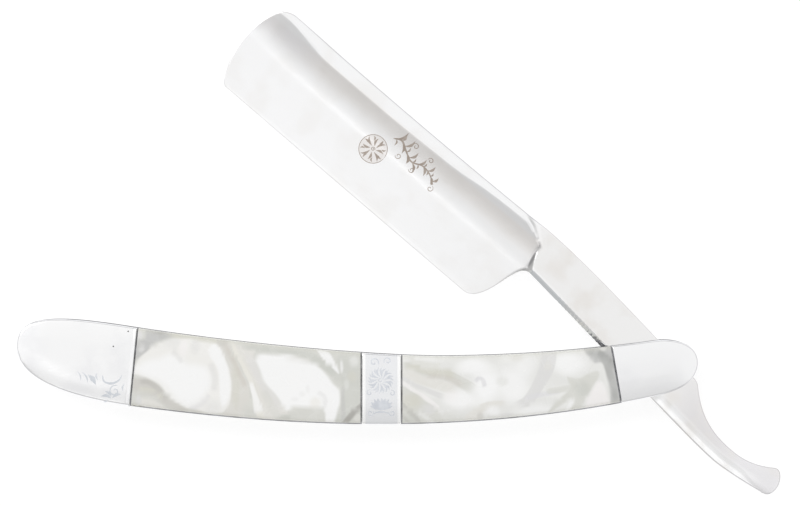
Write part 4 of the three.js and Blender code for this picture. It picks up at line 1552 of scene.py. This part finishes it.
def scroll():
    """Leaf scrolls on the front wedge bolster."""
    stem = flow(pairs([-125.6, -1.3, -125.2, -2.7, -123.6, -3.2, -121.9, -2.5, -121.1, -1.2]))
    strokes = [stroke(stem, (0.25, 0.55, 0.2)), curl((-122.8, -4.9), 1.35, 0.25, 60, 470, 0.32)]
    leaves = [
        (-123.6, -6.6, 168, 2.4, 0.8, -0.35),
        (-123.4, -6.5, 22, 2.3, 0.8, 0.3),
        (-123.6, -6.2, 138, 1.9, 0.7, -0.3),
        (-124.4, -6.9, 205, 1.2, 0.4, 0.3),
        (-128.9, -1.2, -52, 2.9, 1.3, 0.2),
        (-130.2, -0.6, -62, 2.8, 0.4, 0.25),
        (-131.3, -0.4, -70, 2.4, 0.3, 0.25),
        (-126.9, -0.8, -80, 1.7, 0.4, -0.3),
        (-120.6, -3.2, -100, 1.9, 0.4, -0.3),
    ]
    strokes += [leaf((x, y), *shape) for x, y, *shape in leaves]
    marks("wedge_bolster_scroll", strokes, bolster_top, ENGRAVED, "handle", "bolster")


def flower():
    """A flower with scrolls over a bud of leaves, on the front centre band."""
    centre = np.asarray([-62.5, -2.5])
    strokes = [curl(centre, 0.6, 0.2, 0, 400, 0.22)]
    for k in range(11):
        angle = 360 / 11 * k
        a = math.radians(angle)
        strokes.append(leaf(centre + 0.7 * direction(a), angle, 2.3, 0.6, 0.5))
        strokes.append(leaf(centre + 1.5 * direction(a + 0.29), angle + 16, 1.5, 0.4, 0.5))
    strokes.append(curl((-64.0, 1.6), 1.1, 0.2, -30, 400, 0.3))
    strokes.append(curl((-60.9, 1.9), 0.9, 0.2, 210, -400, 0.3))
    lengths = (2.6, 2.7, 2.4, 2.1, 1.9, 2.1, 2.4, 2.7, 2.6)
    for angle, length in zip((178, 158, 136, 114, 90, 66, 44, 22, 2), lengths):
        strokes.append(leaf((-62.3, -8.4), angle, length, 1.0, 0.2 if angle > 90 else -0.2))
    strokes.append(stroke(flow(pairs([-64.6, -7.6, -63.4, -8.7, -61.2, -8.7, -60, -7.6])), (0.3, 0.9, 0.3)))
    strokes.append(curl((-64.8, -9.9), 0.75, 0.2, 30, -400, 0.28))
    strokes.append(curl((-59.9, -9.9), 0.75, 0.2, 150, 400, 0.28))
    strokes.append(stroke(flow(pairs([-64.1, -10, -63.1, -9.7, -61.6, -9.7, -60.6, -10])), (0.2, 0.4, 0.2)))
    strokes.append(curl((-65.0, -5.3), 0.7, 0.2, 60, 380, 0.25))
    strokes.append(curl((-59.9, -5.4), 0.7, 0.2, 120, -380, 0.25))
    marks("centre_band_flower", strokes, bolster_top, SOFT_ENGRAVED, "handle", "bolster")


def dark_dots():
    """Two tiny near-black dots on the front wedge bolster."""
    strokes = [curl(place, 0.17, 0.05, 0, 500, 0.13) for place in ((-123.1, 5.2), (-119.75, 8.6))]
    marks("wedge_bolster_dots", strokes, bolster_top, DARK_DOT_METAL, "handle", "bolster")


sprig()
scroll()
flower()
dark_dots()

# ---- stage

SHADE_AZIMUTH = math.radians(229.6)
WINDOW_AZIMUTH = math.radians(245)
LOW_AZIMUTH = math.radians(276)
# Brightness of the room against the angle from overhead, as (degrees, brightness), in four directions:
# toward a darker side, a bright window, a dimmer side, and everywhere else.
SHADE_STOPS = [
    (0, 0.95), (6.0, 0.955), (7.4, 1.04), (8.4, 1.2), (10.2, 1.2), (11.8, 1.04), (13.4, 0.965), (17, 0.89),
    (21, 0.81), (24.5, 0.73), (28.5, 0.68), (33, 0.655), (40, 0.645), (57, 0.65), (64, 0.6), (75, 0.56),
    (83, 0.5), (87, 1.0), (90, 1.02),
]
WINDOW_STOPS = [
    (0, 0.95), (6, 0.975), (9, 0.95), (13, 0.85), (18, 0.88), (20.5, 1.12), (27, 1.12), (30, 0.8),
    (40, 0.7), (57, 0.63), (66, 0.57), (83, 0.5), (87, 1.0), (90, 1.02),
]
LOW_STOPS = [
    (0, 0.95), (3, 0.92), (8, 0.82), (20, 0.76), (40, 0.72), (60, 0.58), (66, 0.5), (83, 0.5), (87, 1.0),
    (90, 1.02),
]
OPEN_STOPS = [
    (0, 0.95), (8, 0.985), (20, 1.0), (40, 1.0), (50, 0.93), (62, 0.66), (70, 0.5), (83, 0.5), (87, 1.0),
    (90, 1.02),
]


WORLD_STRENGTH = 2.0  # the ramps hold half of each brightness, because their colours stop at 1


def sky_ramp(nodes, angle, stops):
    """Brightness against the angle from overhead; stops are (degrees, brightness)."""
    ramp = nodes.add("ShaderNodeValToRGB", {0: angle})
    ramp.color_ramp.interpolation = "EASE"
    points = ramp.color_ramp.elements
    while len(points) < len(stops):
        points.new(0.5)
    for point, (degrees, bright) in zip(points, stops):
        point.position = degrees / 90
        level = bright / WORLD_STRENGTH
        point.color = (level, level, level, 1)
    return ramp.outputs[0]


def world():
    """A white room with softly darker sides, which the hollow grinding mirrors, and one bright window."""
    scene_world = bpy.data.worlds.new("studio")
    bpy.context.scene.world = scene_world
    scene_world.use_nodes = True
    nodes = Nodes(scene_world.node_tree)
    way = nodes.add("ShaderNodeTexCoord").outputs["Generated"]
    x, y, z = nodes.add("ShaderNodeSeparateXYZ", {0: way}).outputs
    angle = nodes.math("DIVIDE", nodes.math("ARCCOSINE", z), math.pi / 2, clamp=True)
    flat = nodes.length(x, y)

    def toward(azimuth, low, high):
        side = nodes.times(x, math.cos(azimuth))
        ahead = nodes.math("ADD", side, nodes.times(y, math.sin(azimuth)))
        return nodes.steps(nodes.math("DIVIDE", ahead, nodes.math("MAXIMUM", flat, 0.001)), low, high)

    color = sky_ramp(nodes, angle, OPEN_STOPS)
    for azimuth, low, high, stops in (
        (LOW_AZIMUTH, 0.72, 0.95, LOW_STOPS),
        (SHADE_AZIMUTH, 0.9, 0.975, SHADE_STOPS),
        (WINDOW_AZIMUTH, 0.98, 0.993, WINDOW_STOPS),
    ):
        color = nodes.mix(toward(azimuth, low, high), color, sky_ramp(nodes, angle, stops))
    back = scene_world.node_tree.nodes["Background"]
    nodes.put(color, back.inputs["Color"])
    back.inputs["Strength"].default_value = WORLD_STRENGTH


def lamp():
    """A large soft lamp high on the upper left."""
    data = bpy.data.lights.new("softbox", "AREA")
    data.shape = "DISK"
    data.size = 0.7
    data.energy = 3.2
    lamp_object = add_object("softbox", data)
    height, out, azimuth = 1.0, 0.95, math.radians(138)
    lamp_object.location = (out * math.cos(azimuth), out * math.sin(azimuth), height)
    lamp_object.rotation_euler = (0, math.atan2(out, height), azimuth)


FLOOR_RADIUS = 4000
FLOOR_Z = -0.05


def floor():
    """A disk of paper just under the back scale."""
    ring = circle(FLOOR_RADIUS, HOLE_SIDES)
    vertices = np.column_stack([ring, np.full(len(ring), FLOOR_Z)])
    mesh = new_mesh("floor", vertices, [row_of(0, len(ring))])
    mesh.materials.append(floor_paper())
    add_object("floor", mesh)


VIEW_CENTRE = (-58.1, 26.4)
VIEW_WIDTH = 182.4


def camera():
    """A long lens straight above the razor, aimed at VIEW_CENTRE and VIEW_WIDTH wide there."""
    data = bpy.data.cameras.new("camera")
    data.lens = 200
    data.sensor_width = 36
    data.clip_start = 0.05
    data.clip_end = 20
    eye = add_object("camera", data)
    distance = VIEW_WIDTH * data.lens / data.sensor_width
    eye.location = [c * MM for c in (*VIEW_CENTRE, MIDDLE + distance)]
    bpy.context.scene.camera = eye


world()
lamp()
floor()
camera()
bpy.context.scene.view_settings.view_transform = "Standard"
